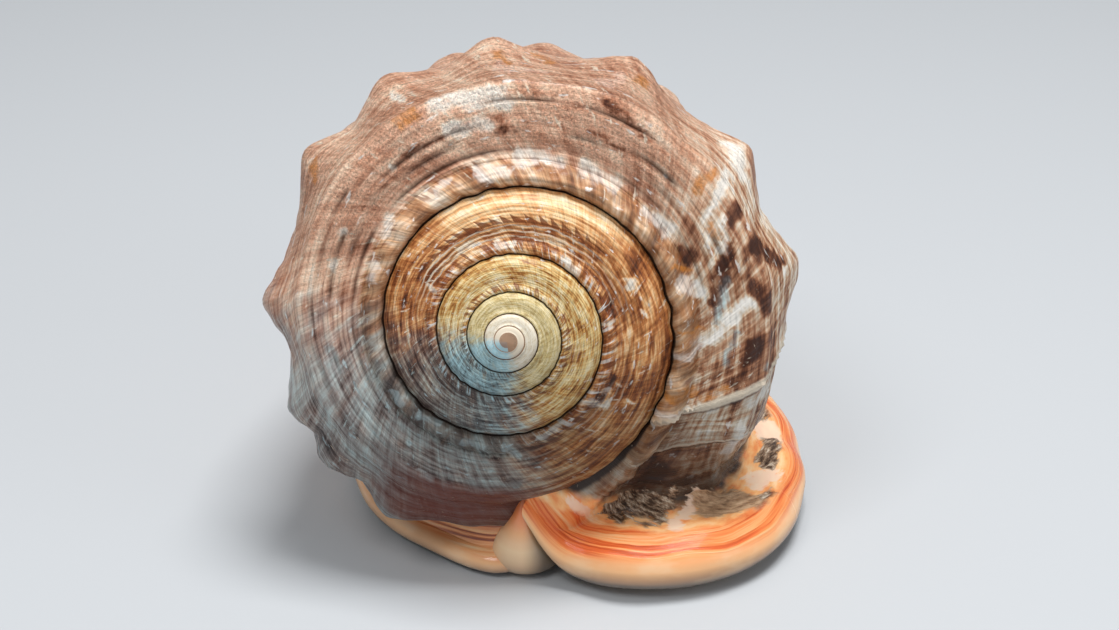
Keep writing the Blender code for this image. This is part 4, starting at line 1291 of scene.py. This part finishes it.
def painted_light_and_maroon(paint, look, colour):
    """Painted blue reflection where each whorl turns down and left, painted light on the last whorl's top,
    painted shade where each whorl turns down, a dark patch by the last suture's end, and a maroon band above
    the shield.
    """
    grey = paint.node("RGBToBW", {0: colour})
    patchy = paint.grains("cool_patches", look.age, look.across) - 0.5
    # Painted blue reflection: greyer and bluer where the corners carry it, with a patchy edge.
    cool = paint.step(look.cool + 1.1 * patchy, 0.1, 0.95) * paint.step(look.cool, 0.0, 0.3)
    young = paint.step(look.turn, *TO_YOUNG_BLUE_REFLECTION)
    colour = paint.mix(cool * (0.58 + 0.34 * young), colour, paint.shaded(BLUE_REFLECTION_SHADE, grey))
    # Painted light on the last whorl's top and painted shade where each whorl turns down, by the way each
    # part faces.
    upward = paint.wave(LIP_ANGLE / (2 * math.pi) - look.turn)
    painted_top_light = 0.16 * paint.step(upward, 0.0, 1.0) * look.last
    painted_low_shade = (0.55 - 0.3 * young) * paint.step(upward, 0.1, -0.95)
    # A dark patch beside the last suture's end, partly the shell's own brown and partly painted shade.
    dusk = paint.step(look.turn, *TO_DUSK) * paint.step(look.share, 0.12, 0.4)
    colour = paint.mix(dusk * (0.78 + 0.8 * patchy), paint.shaded(colour, 1.0 + painted_top_light - painted_low_shade), DUSK)
    band = paint.step(look.across, 13.5, 17.0) * paint.step(look.across, 38, 28) * look.last
    return paint.mix(band * paint.step(look.turn, *TO_MAROON) * 0.85, colour, MAROON)


def sutured(paint, look, colour):
    """The dark line along the suture, of uneven width, and brown and faint by the tip."""
    tip = paint.step(look.turn, *TO_BLACK_SUTURE)
    line = paint.curve(look.turn, SUTURE_LINE) / 100
    line = line * (0.4 + 1.2 * paint.grains("suture_width", look.round))
    outer = paint.step(look.share - line, 0.008, -0.002)
    inner = paint.step(1.0 - look.share - 0.7 * line, 0.008, -0.002) * look.spire
    suture = paint.calc("MAXIMUM", outer, inner)
    dark = paint.mix(tip, TIP_SUTURE_BROWN, SUTURE_BLACK)
    return paint.mix(suture * (0.75 + 0.2 * tip), colour, dark)


def lip_colours(paint, along, margin):
    """Colour and height of the lip's layers, by the height up from its edge, and the same way under it."""
    drift = paint.grains("layer_drift", along, margin)
    layer = margin + 6.0 * drift
    fine = paint.grains("fine_layers", layer, along)
    broad = paint.grains("broad_layers", layer, along)
    orange = paint.ramp(0.5 + (fine * 0.6 + broad * 0.4 - 0.5) * 1.7, ORANGE_LAYERS)
    # The roll's grey band just under the edge is painted shade.
    roll = paint.ramp((margin + ROLL_REACH) / (2 * ROLL_REACH), ROLL_COLOURS)
    pale = paint.step(paint.grains("roll_mottle", along, margin), 0.45, 0.7) * paint.step(margin, -4.0, 0.0)
    roll = paint.mix(pale * 0.5, roll, ROLL_CREAM)
    under = paint.step(paint.grains("underside", along, margin), 0.42, 0.66) * paint.step(margin, -9, -16)
    roll = paint.mix(under * 0.5, roll, PALE_PEACH)
    layered = paint.step(margin - paint.curve(along, LIP_ROLL) + 4.0 * (drift - 0.5), -1.2, 1.4)
    return paint.mix(layered, roll, orange), (fine - 0.5) * 0.6 * layered, layered


def lip_top(paint, look, colour):
    """The lip over the skin: its orange layers, the peach glaze above them and the blotches."""
    lip, lip_height, _ = lip_colours(paint, look.along, look.margin)
    wander = 5.0 * (paint.grains("band_edge", look.along, look.margin) - 0.5)
    rising = look.margin + wander - paint.curve(look.along, LIP_BAND)
    bent = 1.1 * paint.grains("wrinkle_bend", look.along, look.margin)
    lean = (look.margin + WRINKLE_LEAN * look.along) / WRINKLE_WIDTH
    wrinkle = paint.grains("wrinkles", look.along, lean + bent)
    glaze = paint.ramp(paint.grains("glaze", look.along, look.margin), PEACHES)
    glazed = paint.step(rising - paint.curve(look.along, LIP_GLAZE), 2.0, -2.0)
    colour = paint.mix(glazed, colour, glaze)
    streaked = 1.5 * (look.ragged - 0.5) + 1.7 * (wrinkle - 0.5)
    colour = paint.mix(paint.step(look.pale + streaked, 0.3, 0.7) * 0.8, colour, PALE_PEACH)
    blotch = paint.step(look.blotch + streaked, 0.3, 0.75)
    olive = paint.step(look.olive + streaked, 0.3, 0.8)
    colour = paint.mix(olive, colour, paint.ramp(wrinkle, OLIVE_BLOTCH))
    # Dark blotches, with painted highlight on the tops of their wrinkles.
    colour = paint.mix(blotch, colour, paint.ramp(wrinkle, BLOTCH_AND_GLINT))
    on_lip = paint.step(rising, 1.2, -1.2)
    wrinkled = (wrinkle - 0.5) * (1.9 * blotch + 0.8 * olive) * (1.0 - on_lip)
    return paint.mix(on_lip, colour, lip), lip_height * on_lip + wrinkled, on_lip


def outside_material():
    """The whorls: streaked browns under fine cords and growth lines, passing to the lip's orange layers."""
    paint = Paint("shell_outside")
    look = read_looks(paint)
    colour = whorl_colours(paint, look)
    colour = spire_bands(paint, look, colour)
    colour = collar_colours(paint, look, colour)
    colour = marked_colours(paint, look, colour)
    colour, height = fine_lines(paint, look, colour)
    colour = scar_colours(paint, look, colour)
    colour = painted_light_and_maroon(paint, look, colour)
    colour = sutured(paint, look, colour)
    colour, lip_height, on_lip = lip_top(paint, look, colour)
    roughness = 0.44 + 0.14 * look.grain - 0.12 * look.glossy - 0.08 * on_lip + 0.3 * (look.growths - 0.5)
    paint.shader.inputs["Coat Weight"].default_value = 0.12
    paint.shader.inputs["Coat Roughness"].default_value = 0.16
    paint.shader.inputs["Specular IOR Level"].default_value = 0.2
    return paint.finish(colour, roughness, height + lip_height)


def glazed_material():
    """The shield and the lobe: a cream roll round a trough of thin peach and orange layers."""
    paint = Paint("shell_glazed")
    along, margin, lobe = paint.place("lip")
    x, _, _ = paint.place("skin")
    colour, height, layered = lip_colours(paint, along, margin * (1.0 - lobe))
    tone = paint.grains("shield_layers", margin + 0.12 * along, along)
    browned = paint.ramp(0.5 + (tone - 0.5) * 1.7, SHIELD_LAYERS)
    colour = paint.mix(layered * (1.0 - lobe), colour, browned)
    pillow = paint.ramp(margin / 26 + 0.1 * (paint.grains("lobe", along, margin) - 0.5), LOBE_COLOURS)
    # Painted shade over the lobe's right side.
    pillow = paint.mix(paint.step(x, 2.0, 8.0) * 0.85, pillow, LOBE_PAINTED_SHADE)
    paint.shader.inputs["Coat Weight"].default_value = 0.45
    paint.shader.inputs["Coat Roughness"].default_value = 0.08
    return paint.finish(paint.mix(lobe, colour, pillow), 0.26, height)


def inside_material():
    """The walls of the mouth and the chamber: smooth, in cloudy orange browns."""
    paint = Paint("shell_inside")
    x, y, z = paint.place("skin")
    cloud = paint.noise(x / 9, y / 9, z / 9, detail=4.0)
    return paint.finish(paint.ramp(cloud, MOUTH_BROWNS), 0.3, cloud * 0.2)


def tooth_material():
    """The teeth and folds: glossy cream."""
    paint = Paint("shell_teeth")
    x, y, z = paint.place("skin")
    cloud = paint.noise(x / 3.3, y / 3.3, z / 3.3)
    return paint.finish(paint.ramp(cloud, TOOTH_CREAMS), 0.22, cloud * 0.1)


def teeth():
    """The teeth along the mouth's outer edge and the thinner folds along its inner one."""
    points = []
    faces = []
    sphere = bmesh.new()
    bmesh.ops.create_uvsphere(sphere, u_segments=16, v_segments=10, radius=1.0)
    unit = np.array([vertex.co[:] for vertex in sphere.verts])
    corners = [[vertex.index for vertex in face.verts] for face in sphere.faces]
    sphere.free()
    for table, (count, radii) in [(LIP, TEETH), (SHIELD, FOLDS)]:
        for at in np.linspace(*TEETH_STATIONS, count):
            edge, _, _, _, mouth = stations(table, at)
            outward = edge - mouth
            outward[2] = 0
            outward /= np.linalg.norm(outward)
            beside = np.cross(UP, outward)
            centre = mouth + outward * radii[0] * TOOTH_SET_BACK + UP * TOOTH_RISE
            shape = unit * radii
            made = centre + shape[:, :1] * outward + shape[:, 1:2] * beside + shape[:, 2:] * UP
            faces += [[corner + len(points) * len(unit) for corner in face] for face in corners]
            points.append(np.maximum(made, TABLE + TOOTH_CLEARANCE))
    points = np.concatenate(points)
    mesh = bpy.data.meshes.new("teeth")
    mesh.from_pydata((points - FRAME_ORIGIN) * MM, [], faces)
    skin = mesh.attributes.new("skin", "FLOAT_VECTOR", "CORNER")
    skin.data.foreach_set("vector", points[np.concatenate(faces)].astype(np.float32).ravel())
    mesh.shade_smooth()
    mesh.materials.append(tooth_material())
    piece = bpy.data.objects.new("teeth", mesh)
    bpy.context.scene.collection.objects.link(piece)
    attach(piece, "root")


def camera_and_light():
    """The camera where the photograph was taken from, a pale floor and soft studio light."""
    scene = bpy.context.scene
    camera = bpy.data.objects.new("camera", bpy.data.cameras.new("camera"))
    camera.data.lens = CAMERA_LENS
    camera.location = (CAMERA - FRAME_ORIGIN) * MM
    camera.rotation_euler = (math.pi / 2 - CAMERA_ELEVATION, 0, 0)
    camera.data.clip_start = 0.01
    scene.collection.objects.link(camera)
    scene.camera = camera

    bpy.ops.mesh.primitive_plane_add(size=12.0)
    floor = bpy.context.object
    floor.name = "floor"
    material = bpy.data.materials.new("floor")
    material.use_nodes = True
    shader = material.node_tree.nodes["Principled BSDF"]
    shader.inputs["Base Color"].default_value = FLOOR_COLOUR
    shader.inputs["Roughness"].default_value = 0.55
    floor.data.materials.append(material)

    world = bpy.data.worlds.new("studio")
    world.use_nodes = True
    sky = world.node_tree.nodes["Background"]
    sky.inputs["Color"].default_value = SKY_COLOUR
    sky.inputs["Strength"].default_value = SKY_STRENGTH
    scene.world = world
    scene.view_settings.view_transform = "Standard"
    for name, place, size, power in LIGHTS:
        light = bpy.data.lights.new(name, "AREA")
        light.size = size
        light.energy = power
        lamp = bpy.data.objects.new(name, light)
        lamp.location = place
        towards = Vector(LIT_POINT) - lamp.location
        lamp.rotation_euler = towards.to_track_quat("-Z", "Y").to_euler()
        scene.collection.objects.link(lamp)


camera_and_light()
MATERIALS = [outside_material(), glazed_material(), inside_material()]
shell_surface()
teeth()
